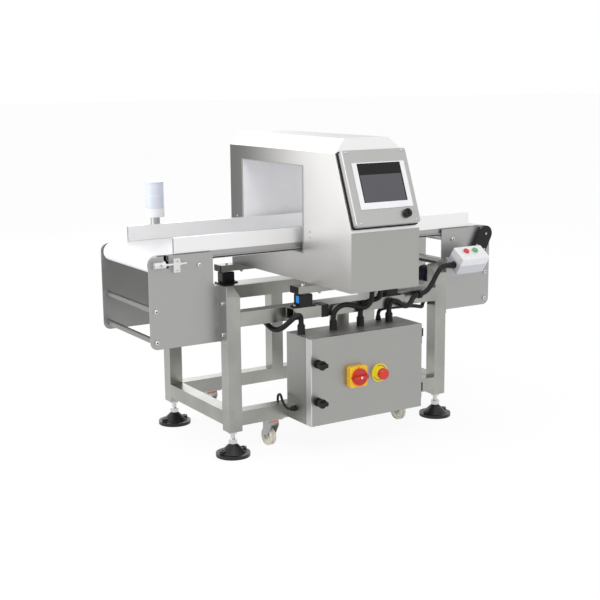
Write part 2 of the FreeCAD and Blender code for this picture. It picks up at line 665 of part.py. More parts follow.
def castor(name, sx, sy):
    cx, cy = sx + "castor_x", sy + "leg_cy"
    ring = rod(name + "_ring", cx, cy, ring_low, "castor_ring_r", "castor_ring_h")
    kingpin = rod(name + "_kingpin", cx, cy, ring_low, "axle_r",
                  "castor_ring_h + castor_plate_t")
    crown = box(name + "_crown", cx + " - fork_half", cy + " - castor_ring_r * 0.8", ring_low + " - fork_t",
                "2 * fork_half", "castor_trail + castor_ring_r * 0.8", "fork_t")
    arm_profile = [(cy + " - castor_ring_r * 0.8", ring_low), (cy + " - castor_ring_r * 0.8", ring_low + " - wheel_r * 0.4"),
                   (cy + " + castor_trail - axle_r * 2", "wheel_z - axle_r"),
                   (cy + " + castor_trail - axle_r", "wheel_z - axle_r * 2"),
                   (cy + " + castor_trail + axle_r", "wheel_z - axle_r * 2"),
                   (cy + " + castor_trail + axle_r * 2", "wheel_z - axle_r"),
                   (cy + " + castor_trail + axle_r * 2", ring_low)]
    arms = [prism(name + "_arm0", "YZ", cx + " - fork_half", arm_profile, "fork_t"),
            prism(name + "_arm1", "YZ", cx + " + fork_half - fork_t", arm_profile, "fork_t")]
    axle = rod(name + "_axle", cx + " - fork_half - fork_t", cy + " + castor_trail", "wheel_z", "axle_r",
               "2 * fork_half + 2 * fork_t", "X")
    node(name + "_fork", fuse(name + "_fork", [ring, kingpin, crown, axle] + arms))
    rim = "wheel_r * 0.06"
    side = "wheel_w / 2"
    profile = [("-" + side, "axle_r + thread_gap"), (side, "axle_r + thread_gap"), (side, "wheel_r * 0.34"),
               (side + " * 0.72", "wheel_r * 0.40"), (side + " * 0.72", "wheel_r * 0.82"),
               (side, "wheel_r * 0.88"), (side, "wheel_r - " + rim), (side + " * 0.75", "wheel_r"),
               (side + " * 0.16", "wheel_r"), (side + " * 0.12", "wheel_r - " + rim + " * 1.4"),
               ("-" + side + " * 0.12", "wheel_r - " + rim + " * 1.4"), ("-" + side + " * 0.16", "wheel_r"),
               ("-" + side + " * 0.75", "wheel_r"), ("-" + side, "wheel_r - " + rim),
               ("-" + side, "wheel_r * 0.88"), ("-" + side + " * 0.72", "wheel_r * 0.82"),
               ("-" + side + " * 0.72", "wheel_r * 0.40"), ("-" + side, "wheel_r * 0.34")]
    s = doc.addObject("Sketcher::SketchObject", name + "_wheel_outline")
    s.Placement = FreeCAD.Placement(FreeCAD.Vector(), PLANE_TURN["XZ"])
    polygon(s, profile)
    wheel = doc.addObject("Part::Revolution", name + "_wheel")
    wheel.Source = s
    wheel.Axis = FreeCAD.Vector(1, 0, 0)
    wheel.Angle = 360
    wheel.Solid = True
    node(name + "_wheel", at(wheel, cx, cy + " + castor_trail", "wheel_z"))


for name, sx, sy in (("castor_near_infeed", "-", "-"), ("castor_near_outfeed", "", "-"),
                     ("castor_far_infeed", "-", ""), ("castor_far_outfeed", "", "")):
    castor(name, sx, sy)

BRACKETS = []
castor_top = cut("castor_top", box("castor_top_sheet", "castor_x - castor_plate / 2", "-frame_y", plate_low,
                                   "castor_plate", "tube", "castor_plate_t"),
                 rod("castor_top_bore", "castor_x", "-leg_cy", plate_low, "axle_r + thread_gap", "castor_plate_t"))
BRACKETS.append(four("castor_tops", castor_top))


# ---- end side plates, their spacer rods, tie bars and bolts
def side_plate(name, shaft):
    points = [("frame_x", "plate_bottom"), ("plate_end", "plate_bottom"), ("plate_end", "plate_top"),
              ("plate_in_x", "plate_top"), ("plate_in_x", "plate_notch"), ("frame_x", "plate_notch")]
    web = body(name + "_web", "XZ", "-plate_in_y", points, "plate_t", rounds=[("plate_round", [1, 2])],
               holes=[("rod_x", "rod_high", "bolt_r + thread_gap"), ("rod_x", "rod_low", "bolt_r + thread_gap"),
                      ("snub_x", "snub_z", "snub_shaft_r + thread_gap"),
                      ("roller_x", "roller_z", shaft + " + thread_gap")])
    flange = box(name + "_flange", "frame_x", "-frame_y", "plate_bottom", "plate_t",
                 "frame_y - plate_in_y", "plate_notch - plate_bottom")
    return fuse(name, [web, flange])


infeed_plate = side_plate("infeed_plate", "tail_shaft_r")
drop = box("infeed_drop", "slot_drop_x - slot_drop_w / 2", "-plate_y", "roller_z - tail_shaft_r - slot_extra",
           "slot_drop_w", "plate_t", "plate_rise * 2")
level = box("infeed_level", "slot_drop_x", "-plate_y", "roller_z - tail_shaft_r - thread_gap",
            "roller_x - slot_drop_x", "plate_t", "2 * (tail_shaft_r + thread_gap)")
infeed_plates = mirror("infeed_plates", both("infeed_plates_right", cut("infeed_plate_cut", infeed_plate, drop, level),
                                             "Y"), "X")
outfeed_near = side_plate("outfeed_plate", "drive_shaft_r")
# the near outfeed plate has one more hole, for the gearbox shaft
shaft_hole = rod("outfeed_shaft_hole", "motor_x", "-plate_y", "motor_z", "out_shaft_r + 1", "plate_t", "Y")
outfeed_plates = group("outfeed_plates", [cut("outfeed_near_plate", outfeed_near, shaft_hole),
                                          mirror("outfeed_far_plate", outfeed_near, "Y")])
node("side_plates", group("side_plates", [infeed_plates, outfeed_plates]))


def plate_bolt(name, x, z, shank="bolt_r", reach="plate_t"):
    """A bolt whose head lies on the outer face of the near side plate."""
    head = rod(name + "_head", x, "-(plate_y + bolt_head_h)", z, "bolt_head_r", "bolt_head_h", "Y")
    return fuse(name, [head, rod(name + "_shank", x, "-plate_y", z, shank, reach, "Y")])


spacers = [rod("spacer_high", "rod_x", "-plate_in_y", "rod_high", "rod_r", "2 * plate_in_y", "Y"),
           rod("spacer_low", "rod_x", "-plate_in_y", "rod_low", "rod_r", "2 * plate_in_y", "Y"),
           box("tie_bar", "plate_in_x", "-plate_in_y", "tie_z", "tie_w", "2 * plate_in_y", "tie_h")]
BOLTS.append(both("spacers", group("spacers_right", spacers), "X"))
BOLTS.append(four("rod_bolts", group("rod_bolts_near", [plate_bolt("rod_bolt_high", "rod_x", "rod_high"),
                                                        plate_bolt("rod_bolt_low", "rod_x", "rod_low")])))
BOLTS.append(four("snub_bolts", rod("snub_bolt", "snub_x", "-(plate_y + bolt_head_h)", "snub_z", "bolt_head_r",
                                    "bolt_head_h", "Y")))
flange_bolt_z = "plate_bottom + (plate_notch - plate_bottom) * %s"
BOLTS.append(four("flange_bolts", group("flange_bolts_near", [
    rod("flange_bolt%d" % k, "frame_x + plate_t", "-leg_cy", flange_bolt_z % share, "bolt_head_r", "bolt_head_h", "X")
    for k, share in enumerate(("0.15", "0.7"))])))
BOLTS.append(four("castor_bolts", group("castor_bolts_near", [
    rod("castor_bolt%d" % k, "castor_x + %s * (castor_plate / 2 - bolt_r)" % s, "-leg_cy - %s * tube * 0.3" % t,
        plate_low + " - bolt_r * 0.8", "bolt_r * 0.9", "bolt_r * 0.8")
    for k, (s, t) in enumerate((("1", "1"), ("-1", "1"), ("1", "-1"), ("-1", "-1")))])))

# ---- slider bed and guide rails
bed_half_profile = [("rail_y", "rail_z"), ("rail_y", "bed_foot_z + bed_t"), ("plate_in_y", "bed_foot_z + bed_t"),
                    ("plate_in_y", "bed_foot_z"), ("rail_y - bed_t", "bed_foot_z"), ("rail_y - bed_t", "bed_top - bed_t")]
left = [("-(%s)" % y, z) for y, z in reversed(bed_half_profile)]
rim = [("-rail_y", "rail_z"), ("-(rail_y - bed_t)", "rail_z"), ("-(rail_y - bed_t)", "bed_top"),
       ("rail_y - bed_t", "bed_top"), ("rail_y - bed_t", "rail_z"), ("rail_y", "rail_z")]
bed_profile = bed_half_profile[1:] + left[:-1] + rim
bed = prism("bed_sheet", "YZ", "-bed_half", bed_profile, "2 * bed_half")
# past the guide rails the bed has no side rims
rim_cut = box("bed_rim_cut", "rail_half", "-plate_y", "bed_top", "bed_half", "2 * plate_y", "rail_h")
node("slider_bed", cut("slider_bed", bed, both("bed_rim_cuts", rim_cut, "X")))

rail = cut("near_rail", box("near_rail_outer", "-rail_half", "-rail_y", "rail_z", "2 * rail_half", "rail_t", "rail_h"),
           box("near_rail_inner", "-rail_half", "-rail_y + rail_wall", "rail_z + rail_wall", "2 * rail_half",
               "rail_t - 2 * rail_wall", "rail_h - 2 * rail_wall"))
node("guide_rails", both("guide_rails", rail, "Y"))


# ---- the belt: a loop round both end rollers, its return strand lifted by the snub rollers
def belt():
    big, small = "roller_r + run_gap", "snub_r + run_gap + belt_t"
    dx, dz = val("roller_x - snub_x"), val("roller_z - snub_z")
    lean = math.atan2(dz, dx) + math.acos((val(big) + val(small)) / math.hypot(dx, dz))
    turn = 2 * math.pi
    arcs = [("roller_x", "roller_z", big, math.pi / 2, lean - math.pi, False),
            ("snub_x", "snub_z", small, lean, math.pi / 2, True),
            ("-snub_x", "snub_z", small, math.pi / 2, math.pi - lean, True),
            ("-roller_x", "roller_z", big, turn - lean, math.pi / 2, False)]
    s = plane_sketch("belt_path", "XZ", "belt_half", joined, arcs, [True, True, True, True])
    ring = doc.addObject("Part::Offset2D", "belt_section")
    ring.Source = s
    ring.Mode = "Pipe"
    ring.Fill = True
    bind(ring, "Value", "belt_t")
    return extrude("conveyor_belt", ring, "2 * belt_half")


node("conveyor_belt", belt())


# ---- rollers
def roller(name, x, z, r, shaft, reach):
    barrel = rod(name + "_barrel", x, "-roller_half", z, r, "2 * roller_half", "Y")
    return [barrel, rod(name + "_shaft", x, "-(%s)" % reach, z, shaft, "2 * (%s)" % reach, "Y")]


node("tail_roller", fuse("tail_roller", roller("tail_roller", "-roller_x", "roller_z", "roller_r", "tail_shaft_r",
                                               "plate_y + block_w - 3")))
node("infeed_snub_roller", fuse("infeed_snub_roller", roller("infeed_snub", "-snub_x", "snub_z", "snub_r",
                                                             "snub_shaft_r", "plate_y - run_gap")))
node("outfeed_snub_roller", fuse("outfeed_snub_roller", roller("outfeed_snub", "snub_x", "snub_z", "snub_r",
                                                               "snub_shaft_r", "plate_y - run_gap")))


def pulley(name, x, z, shaft):
    """A pulley inside the drive cover, with flanges that keep the toothed belt on."""
    y = "-(plate_y + cover_wall + 1 + pulley_w)"
    flange = "(cover_deep - cover_wall * 2 - 1 - pulley_w) / 4"
    parts = [rod(name + "_drum", x, y, z, "pulley_r", "pulley_w", "Y"),
             rod(name + "_flange0", x, y + " - 1", z, "pulley_r + timing_t", "1", "Y"),
             rod(name + "_flange1", x, y + " + pulley_w", z, "pulley_r + timing_t", "1", "Y")]
    return parts


drive = roller("drive_roller", "roller_x", "roller_z", "roller_r", "drive_shaft_r", "plate_y + 2 * plate_t")
axle_end = rod("drive_stub", "roller_x", "-(plate_y + cover_wall + 1 + pulley_w)", "roller_z", "drive_shaft_r * 0.7",
               "cover_deep", "Y")
node("drive_roller", fuse("drive_roller", drive + [axle_end] + pulley("drive_pulley", "roller_x", "roller_z", "")))
shaft = rod("motor_shaft", "motor_x", "-(plate_y + cover_wall + 1 + pulley_w)", "motor_z", "out_shaft_r",
            "cover_wall + 1 + pulley_w + plate_t + gear_deep * 0.6", "Y")
node("motor_pulley", fuse("motor_pulley", [shaft] + pulley("motor_pulley", "motor_x", "motor_z", "")))

timing_y = "-(plate_y + cover_wall + 1)"
timing_outer = slab("timing_outer", "XZ", timing_y + " - run_gap", "motor_x", "motor_z", "roller_x", "roller_z",
                    "pulley_r + run_gap + timing_t * 0.8", "pulley_w - 2 * run_gap")
timing_inner = slab("timing_inner", "XZ", timing_y, "motor_x", "motor_z", "roller_x", "roller_z",
                    "pulley_r + run_gap", "pulley_w")
node("timing_belt", cut("timing_belt", timing_outer, timing_inner))

cover_outer = slab("cover_outer", "XZ", "-plate_y", "motor_x", "motor_z", "roller_x", "roller_z", "cover_r", "cover_deep")
cover_inner = slab("cover_inner", "XZ", "-plate_y", "motor_x", "motor_z", "roller_x", "roller_z",
                   "cover_r - cover_wall", "cover_deep - cover_wall")
node("drive_cover", cut("drive_cover", cover_outer, cover_inner))
BOLTS.append(group("cover_screws", [
    rod("cover_screw%d" % k, "motor_x + (roller_x - motor_x) * %s + %s" % (share, dx), "-cover_front - bolt_head_h / 2",
        "motor_z + (roller_z - motor_z) * %s + %s" % (share, dz), "bolt_r", "bolt_head_h / 2", "Y")
    for k, (share, dx, dz) in enumerate((("0.55", "-cover_r * 0.6", "cover_r * 0.3"),
                                         ("0.55", "cover_r * 0.6", "-cover_r * 0.3"), ("1", "0", "0")))]))

# ---- gearmotor: a casing on the inner face of the near outfeed plate and a ribbed motor behind it
motor_cx, motor_cz = "motor_x + gear_shift", "motor_z - gear_drop"
casing = slab("gear_casing", "XZ", "-(plate_in_y - gear_deep)", motor_cx, motor_cz, "motor_x", "motor_z", "gear_r", "gear_deep")
bore = rod("gear_bore", "motor_x", "-plate_in_y", "motor_z", "out_shaft_r + thread_gap", "gear_deep * 0.6", "Y")
motor_y = "-plate_in_y + gear_deep"
core = rod("motor_core", motor_cx, motor_y, motor_cz, "motor_r - cooling_rib", "motor_l", "Y")
fins = [rod("motor_fin%d" % k, motor_cx, motor_y + " + motor_l * %s" % ((k + 0.6) / 8.0), motor_cz, "motor_r",
            "motor_l / 16", "Y") for k in range(7)]
cowl = rod("motor_cowl", motor_cx, motor_y + " + motor_l", motor_cz, "motor_r + 1.5", "fan_l", "Y")
terminal = box("motor_terminal", motor_cx + " - motor_r * 0.7", motor_y + " + motor_l * 0.25",
               motor_cz + " - motor_r - motor_r * 0.35", "motor_r * 1.4", "motor_l * 0.4", "motor_r * 0.6")
motor = fuse("drive_motor", [core, cowl, terminal] + fins)
node("gearmotor", group("gearmotor", [cut("gearbox", casing, bore), motor]))

# ---- belt tensioners at the infeed: axle block, tension screw and stop block on each side plate
block = cut("axle_block", rod("axle_block_body", "-roller_x - block_l / 2", "-(plate_y + block_r)", "roller_z", "block_r",
                              "block_l", "X"),
            rod("axle_block_bore", "-roller_x", "-(plate_y + block_w) - block_r", "roller_z", "tail_shaft_r + thread_gap",
                "block_w + block_r", "Y"))
stop = cut("stop_block", box("stop_block_body", "-stop_x - stop_l", "-(plate_y + stop_w)", "stop_low", "stop_l",
                             "stop_w", "stop_h"),
           rod("stop_block_bore", "-stop_x - stop_l", "-(plate_y + stop_w / 2)", "roller_z", "screw_r + thread_gap",
               "stop_l", "X"))
screw = rod("tension_screw", "-roller_x + block_l / 2", "-(plate_y + stop_w / 2)", "roller_z", "screw_r",
            "roller_x - block_l / 2 - screw_end_x", "X")
screw_nut = cut("tension_nut", hexagon("tension_nut_body", "-stop_x", "-(plate_y + stop_w / 2)", "roller_z",
                                       "screw_r * 1.9", "screw_r * 1.6", "X"),
                rod("tension_nut_bore", "-stop_x", "-(plate_y + stop_w / 2)", "roller_z", "screw_r + thread_gap",
                    "screw_r * 1.6", "X"))
node("belt_tensioners", both("belt_tensioners", group("tensioner_near", [block, stop, screw, screw_nut]), "Y"))
BOLTS.append(both("stop_screws", group("stop_screws_near", [
    rod("stop_screw%d" % k, "-stop_x - stop_l / 2", "-(plate_y + stop_w) - bolt_head_h / 2", "stop_low + stop_h * %s" % s,
        "bolt_r", "bolt_head_h / 2", "Y") for k, s in enumerate(("0.17", "0.83"))]), "Y"))

# the far end of the drive roller runs in a flanged bearing on the far plate
bearing = cut("drive_bearing", rod("drive_bearing_body", "roller_x", "plate_y", "roller_z", "drive_shaft_r * 2.3",
                                   "2.4 * plate_t", "Y"),
              rod("drive_bearing_bore", "roller_x", "plate_y", "roller_z", "drive_shaft_r + thread_gap",
                  "2.4 * plate_t", "Y"))
BRACKETS.append(bearing)

# ---- head carrier: four dampers on the damper beams, two arms, end plugs and bolts
def rect(x0, x1, y0, y1):
    return [(x0, y0), (x1, y0), (x1, y1), (x0, y1)]


damper_top = "up_rail_top + damper_foot_t"
foot_plate = body("damper_foot", "XY", "up_rail_top",
                  rect("damper_x - damper_foot_l / 2", "damper_x + damper_foot_l / 2",
                       "-damper_y - damper_foot_w / 2", "-damper_y + damper_foot_w / 2"),
                  "damper_foot_t", rounds=[("damper_round", [0, 1, 2, 3])])
rubber = body("damper_rubber", "XY", damper_top,
              rect("damper_x - damper_l / 2", "damper_x + damper_l / 2",
                   "-damper_y - damper_w / 2", "-damper_y + damper_w / 2"),
              "damper_h", rounds=[("damper_round", [0, 1, 2, 3])], crown="damper_round * 0.8")
stud = rod("damper_stud", "damper_x", "-damper_y", damper_top + " + damper_h", "bolt_head_r", "damper_stud_h")
node("vibration_dampers", four("vibration_dampers", group("damper", [foot_plate, rubber, stud])))
for k, s in enumerate(("+", "-")):
    BOLTS.append(four("damper_bolts%d" % k, rod("damper_bolt%d" % k, "damper_x %s damper_foot_l * 0.41" % s, "-damper_y",
                                                damper_top, "bolt_head_r * 0.8", "bolt_head_h * 0.7")))
arm = tube_x("near_arm", "-arm_half", "-damper_y - arm_w / 2", "arm_z", "2 * arm_half", "arm_w", "arm_h", "arm_wall")
node("support_arms", both("support_arms", arm, "Y"))
plug_face = box("plug_face", "arm_half", "-damper_y - arm_w / 2", "arm_z", "plug_t", "arm_w", "arm_h")
plug_core = box("plug_core", "arm_half - 3 * plug_t", "-damper_y - arm_w / 2 + arm_wall", "arm_z + arm_wall",
                "3 * plug_t", "arm_w - 2 * arm_wall", "arm_h - 2 * arm_wall")
node("arm_end_plugs", four("arm_end_plugs", fuse("arm_end_plug", [plug_face, plug_core])))
BOLTS.append(four("carrier_bolts", group("carrier_bolts_near", [
    hexagon("arm_bolt", "damper_x", "-damper_y", "head_z", "bolt_head_r", "bolt_head_h"),
    fuse("head_bolt", [hexagon("head_nut", "head_bolt_x", "-damper_y", "arm_z - bolt_head_h * 1.3", "bolt_head_r",
                               "bolt_head_h * 1.3"),
                       rod("head_bolt_end", "head_bolt_x", "-damper_y", "arm_z - bolt_head_h * 2", "bolt_r",
                           "bolt_head_h")])])))


# ---- search head: a folded sheet housing with a sloped front, a lined tunnel and the coil pack
def chamfer(name, inset, share):
    """The wedge that comes off one long top edge."""
    x, z = "head_half - " + inset, "head_top - " + inset
    return prism(name, "XZ", "head_back", [(x, z), ("%s - chamfer_w * %s" % (x, share), z),
                                           (x, "%s - chamfer_h * %s" % (z, share))], "head_front + head_back")


profile = [("-head_front", "head_z"), ("head_back", "head_z"), ("head_back", "head_top"),
           ("-head_front + head_run", "head_top"), ("-head_front", "bend_z")]
block = body("head_block", "YZ", "-head_half", profile, "2 * head_half")
front_in = "-head_front + head_wall"
slant_in = "-head_front + head_wall / cos(slope) + (head_high - head_bend - head_wall) * tan(slope)"
inner = [(front_in, "head_z + head_wall"), ("head_back - head_wall", "head_z + head_wall"),
         ("head_back - head_wall", "head_top - head_wall"), (slant_in, "head_top - head_wall"),
         (front_in, "bend_z - head_wall * (1 / cos(slope) - 1) / tan(slope)")]
room = prism("head_room", "YZ", "-head_half + head_wall", inner, "2 * (head_half - head_wall)")
outer = cut("head_outer", block, both("head_chamfers", chamfer("head_chamfer", "0", "1"), "X"))
size("chamfer_side", "=sqrt(chamfer_w * chamfer_w + chamfer_h * chamfer_h)")  # length of the chamfer's slope
size("chamfer_deep", "=chamfer_w * chamfer_h / chamfer_side")  # depth of the chamfer below its corner
# inner chamfer against the outer one
size("chamfer_share", "=1 + head_wall / chamfer_deep - head_wall * (chamfer_w + chamfer_h) / chamfer_side / chamfer_deep")
doc.recompute()
hollow = cut("head_hollow", room, both("room_chamfers", chamfer("room_chamfer", "head_wall", "chamfer_share"), "X"))
tunnel = box("head_tunnel", "-head_half", "-tunnel_w / 2 - liner_t", "tunnel_sill - liner_t", "2 * head_half",
             "tunnel_w + 2 * liner_t", "tunnel_h + 2 * liner_t")


def on_slope(obj):
    """Stands a piece on the sloped front: X stays, Y runs up the slope, Z stands off it."""
    obj.Placement = FreeCAD.Placement(FreeCAD.Vector(), FreeCAD.Rotation(FreeCAD.Vector(1, 0, 0), 60))
    bind(obj, "Placement.Rotation.Angle", "90 - slope")
    return at(obj, "0", "-head_front", "bend_z")


cable_port = on_slope(group("panel_port", [box("panel_port_box", "-panel_w * 0.3", "panel_s + panel_h * 0.2",
                                               "-2 * head_wall", "panel_w * 0.6", "panel_h * 0.6", "4 * head_wall")]))
node("head_housing", cut("head_housing", outer, hollow, tunnel, cable_port))


def ring_x(name, half, pad_in, pad_out):
    outer = box(name + "_outer", "-" + half, "-tunnel_w / 2 - " + pad_out, "tunnel_sill - " + pad_out, "2 * " + half,
                "tunnel_w + 2 * %s" % pad_out, "tunnel_h + 2 * %s" % pad_out)
    inner = box(name + "_inner", "-" + half, "-tunnel_w / 2 - " + pad_in, "tunnel_sill - " + pad_in, "2 * " + half,
                "tunnel_w + 2 * %s" % pad_in, "tunnel_h + 2 * %s" % pad_in)
    return cut(name, outer, inner)


node("tunnel_liner", ring_x("tunnel_liner", "(head_half + liner_t * 0.4)", "0", "liner_t"))
node("search_coils", ring_x("search_coils", "coil_half", "liner_t", "(liner_t + coil_deep)"))
SIDE_SCREWS = (("-tunnel_w / 2 - 47", "tunnel_sill + 77"), ("-tunnel_w / 2 - 47", "tunnel_sill + 57"),
               ("tunnel_w / 2 + 46", "tunnel_sill + 84"))
BOLTS.append(both("side_screws", group("side_screws_right", [
    rod("side_screw%d" % k, "head_half", y, z, "bolt_r", "bolt_head_h * 0.3", "X")
    for k, (y, z) in enumerate(SIDE_SCREWS)]), "X"))

# ---- operator panel: gasket, folded cover, display and key switch
mid_s = "panel_s + panel_h"


def panel_rect(grow):
    return rect("-panel_w / 2 - " + grow, "panel_w / 2 + " + grow, "panel_s - " + grow, mid_s + " + " + grow)


gasket = body("gasket_sheet", "XY", "0", panel_rect("gasket_over"), "gasket_t", rounds=[("panel_round", [0, 1, 2, 3])],
              windows=[panel_rect("-4 * gasket_t")])
cover = body("panel_shell", "XY", "gasket_t", panel_rect("0"), "panel_deep", rounds=[("panel_round", [0, 1, 2, 3])],
             crown="panel_wall * 1.5")
cover_room = body("panel_room", "XY", "gasket_t", panel_rect("-panel_wall"), "panel_deep - panel_wall",
                  rounds=[("panel_round - panel_wall", [0, 1, 2, 3])])
key_hole = rod("key_hole", "key_x", "key_s", "panel_out - 2 * panel_wall", "key_r * 0.6 + thread_gap", "3 * panel_wall")
node("panel_cover", on_slope(group("panel_cover", [cut("panel_folded", cover, cover_room, key_hole)])))
bezel_rect = rect("bezel_x - bezel_w / 2", "bezel_x + bezel_w / 2", "bezel_s", "bezel_s + bezel_h")
screen_rect = rect("bezel_x - bezel_w / 2 + (bezel_w - screen_w) / 2", "bezel_x + bezel_w / 2 - (bezel_w - screen_w) / 2",
                   "bezel_s + screen_up", "bezel_s + screen_up + screen_h")
bezel = body("bezel_frame", "XY", "panel_out", bezel_rect, "bezel_t", rounds=[("bezel_t", [0, 1, 2, 3])], windows=[screen_rect])
node("display_bezel", on_slope(group("display_bezel", [bezel])))
screen = body("screen_glass", "XY", "panel_out", screen_rect, "bezel_t * 0.8")
node("display_screen", on_slope(group("display_screen", [screen])))
key = fuse("key_rotor", [rod("key_knob", "key_x", "key_s", "panel_out + run_gap", "key_r", "key_out"),
                         rod("key_stem", "key_x", "key_s", "panel_out - panel_wall - run_gap - bolt_r", "key_r * 0.6",
                             "panel_wall + 2 * run_gap + bolt_r"),
                         rod("key_collar", "key_x", "key_s", "panel_out - panel_wall - run_gap - bolt_r", "key_r * 0.8", "bolt_r")])
key_slot = box("key_groove", "key_x - key_r * 0.12", "key_s - key_r * 0.5", "panel_out + run_gap + key_out * 0.6",
               "key_r * 0.24", "key_r", "key_out")
node("key_switch", on_slope(group("key_switch", [cut("key_cut", key, key_slot)])))
BOLTS.append(on_slope(group("panel_screws", [
    rod("panel_screw%d" % k, sx + "(panel_w / 2 - panel_round * 2)", s, "panel_out", "bolt_r", "bolt_head_h * 0.3")
    for k, (sx, s) in enumerate((("-", "panel_s + panel_round"), ("", "panel_s + panel_round"),
                                 ("-", mid_s + " - panel_round"), ("", mid_s + " - panel_round")))])))

# ---- control box: shell, seal, equipment and a hinged door
shell = box("box_outer", "box_left", "box_front", "box_z", "box_w", "box_deep", "box_h")
shell_room = box("box_room", "box_left + box_wall", "box_front + box_wall", "box_z + box_wall", "box_w - 2 * box_wall",
                 "box_deep - 2 * box_wall", "box_h - 2 * box_wall")
shell_mouth = box("box_mouth", "box_left + seal_w + box_wall", "box_front", "box_z + seal_w + box_wall",
                  "box_w - 2 * (seal_w + box_wall)", "box_wall * 2", "box_h - 2 * (seal_w + box_wall)")
node("box_shell", cut("box_shell", shell, shell_room, shell_mouth))
seal = cut("door_seal", box("seal_outer", "box_left + box_wall", "door_back", "box_z + box_wall", "box_w - 2 * box_wall",
                            "seal_t", "box_h - 2 * box_wall"),
           box("seal_inner", "box_left + box_wall + seal_w", "door_back", "box_z + box_wall + seal_w",
               "box_w - 2 * (seal_w + box_wall)", "seal_t", "box_h - 2 * (seal_w + box_wall)"))
node("gaskets", group("gaskets", [seal, on_slope(group("panel_gasket", [gasket]))]))

plate_back = "-(frame_y + box_wall) - 12"
in_left = "box_left + box_wall + seal_w"
equipment = [box("mounting_plate", in_left + " + 6", plate_back + " - 2", "box_z + 26", "box_w - 52", "2", "box_h - 52")]
equipment += [rod("plate_post%d" % k, x, plate_back, z, "bolt_r", "12", "Y")
              for k, (x, z) in enumerate((("box_left + 40", "box_z + 45"), ("box_right - 40", "box_z + 45"),
                                          ("box_left + 40", "box_top - 45"), ("box_right - 40", "box_top - 45")))]
equipment += [box("inverter", "box_left + 48", plate_back + " - 2 - 72", "box_z + 90", "88", "72", "150"),
              box("contactor_rail", "box_left + 165", plate_back + " - 2 - 8", "box_z + 205", "240", "8", "35"),
              box("terminal_rail", "box_left + 165", plate_back + " - 2 - 8", "box_z + 85", "240", "8", "35")]
equipment += [box("contactor%d" % k, "box_left + %d" % (170 + 50 * k), plate_back + " - 2 - 8 - 52", "box_z + 192", "44",
                  "52", "62") for k in range(4)]
equipment += [box("terminal_block", "box_left + 172", plate_back + " - 2 - 8 - 34", "box_z + 84", "210", "34", "40")]
node("box_equipment", group("box_equipment", equipment))

lid = box("door_outer", "box_left", "door_front", "box_z", "box_w", "door_deep", "box_h")
lid_room = box("door_room", "box_left + door_wall", "door_front + door_wall", "box_z + door_wall",
               "box_w - 2 * door_wall", "door_deep", "box_h - 2 * door_wall")
LOCKS = (("upper_door_lock", "lock_high"), ("lower_door_lock", "lock_low"))
shaft_holes = [rod(name + "_hole", "lock_x", "door_front", z, "lock_r * 0.5 + thread_gap", "door_wall", "Y")
               for name, z in LOCKS]
shaft_holes.append(rod("switch_hole", "switch_x", "door_front", "switch_z", "bolt_r + thread_gap", "door_wall", "Y"))
shaft_holes.append(rod("stop_hole", "stop_axis_x", "door_front", "stop_axis_z", "stop_head_r * 0.4 + thread_gap", "door_wall", "Y"))
node("box_door", cut("box_door", lid, lid_room, *shaft_holes))

switch_base = cut("switch_base", body("switch_block", "XZ", "door_front",
                                      rect("switch_x - switch_w / 2", "switch_x + switch_w / 2",
                                           "switch_z - switch_h / 2", "switch_z + switch_h / 2"),
                                      "switch_t", rounds=[("seal_w", [0, 1, 2, 3])], crown="switch_t * 0.12"),
                  rod("switch_bore", "switch_x", "door_front - switch_t", "switch_z", "bolt_r + thread_gap", "switch_t", "Y"))
stop_bore = rod("stop_bore", "stop_axis_x", "door_front - stop_travel * 2", "stop_axis_z", "stop_head_r * 0.4 + thread_gap",
                "stop_travel * 2", "Y")
stop_disc = cut("stop_disc", fuse("stop_disc_body", [
    rod("stop_plate", "stop_axis_x", "door_front - stop_travel * 0.5", "stop_axis_z", "stop_disc_r", "stop_travel * 0.5", "Y"),
    cone("stop_collar", "stop_axis_x", "door_front - stop_travel * 2", "stop_axis_z", "stop_head_r * 0.8", "stop_head_r",
         "stop_travel * 2", "Y")]), stop_bore)


def knuckle(name, low, part):
    """Half a hinge: a block on the side of the box or of the door, and its knuckle."""
    z, rise = ("hinge_%s" % low, "hinge_h / 2 - run_gap / 2") if part == "shell" else (
        "hinge_%s + hinge_h / 2 + run_gap / 2" % low, "hinge_h / 2 - run_gap / 2")
    y, deep = ("hinge_y + hinge_r", "box_front - hinge_y - hinge_r + 14") if part == "shell" else (
        "door_front", "hinge_y - door_front")
    barrel = rod(name + "_barrel", "hinge_x", "hinge_y", z, "hinge_r", rise)
    if part == "shell":
        arm = box(name + "_arm", "hinge_x - 2", "hinge_y", z, "4", "box_front - hinge_y + 14", rise)
        leaf = box(name + "_leaf", "box_right", "box_front", z, "hinge_out", "14", rise)
        return fuse(name, [barrel, arm, leaf, rod(name + "_pin", "hinge_x", "hinge_y", z, "hinge_pin_r", "hinge_h")])
    leaf = box(name + "_leaf", "box_right", y, z, "hinge_out", deep, rise)
    return cut(name, fuse(name + "_solid", [barrel, leaf]),
               rod(name + "_bore", "hinge_x", "hinge_y", z, "hinge_pin_r + thread_gap", rise))


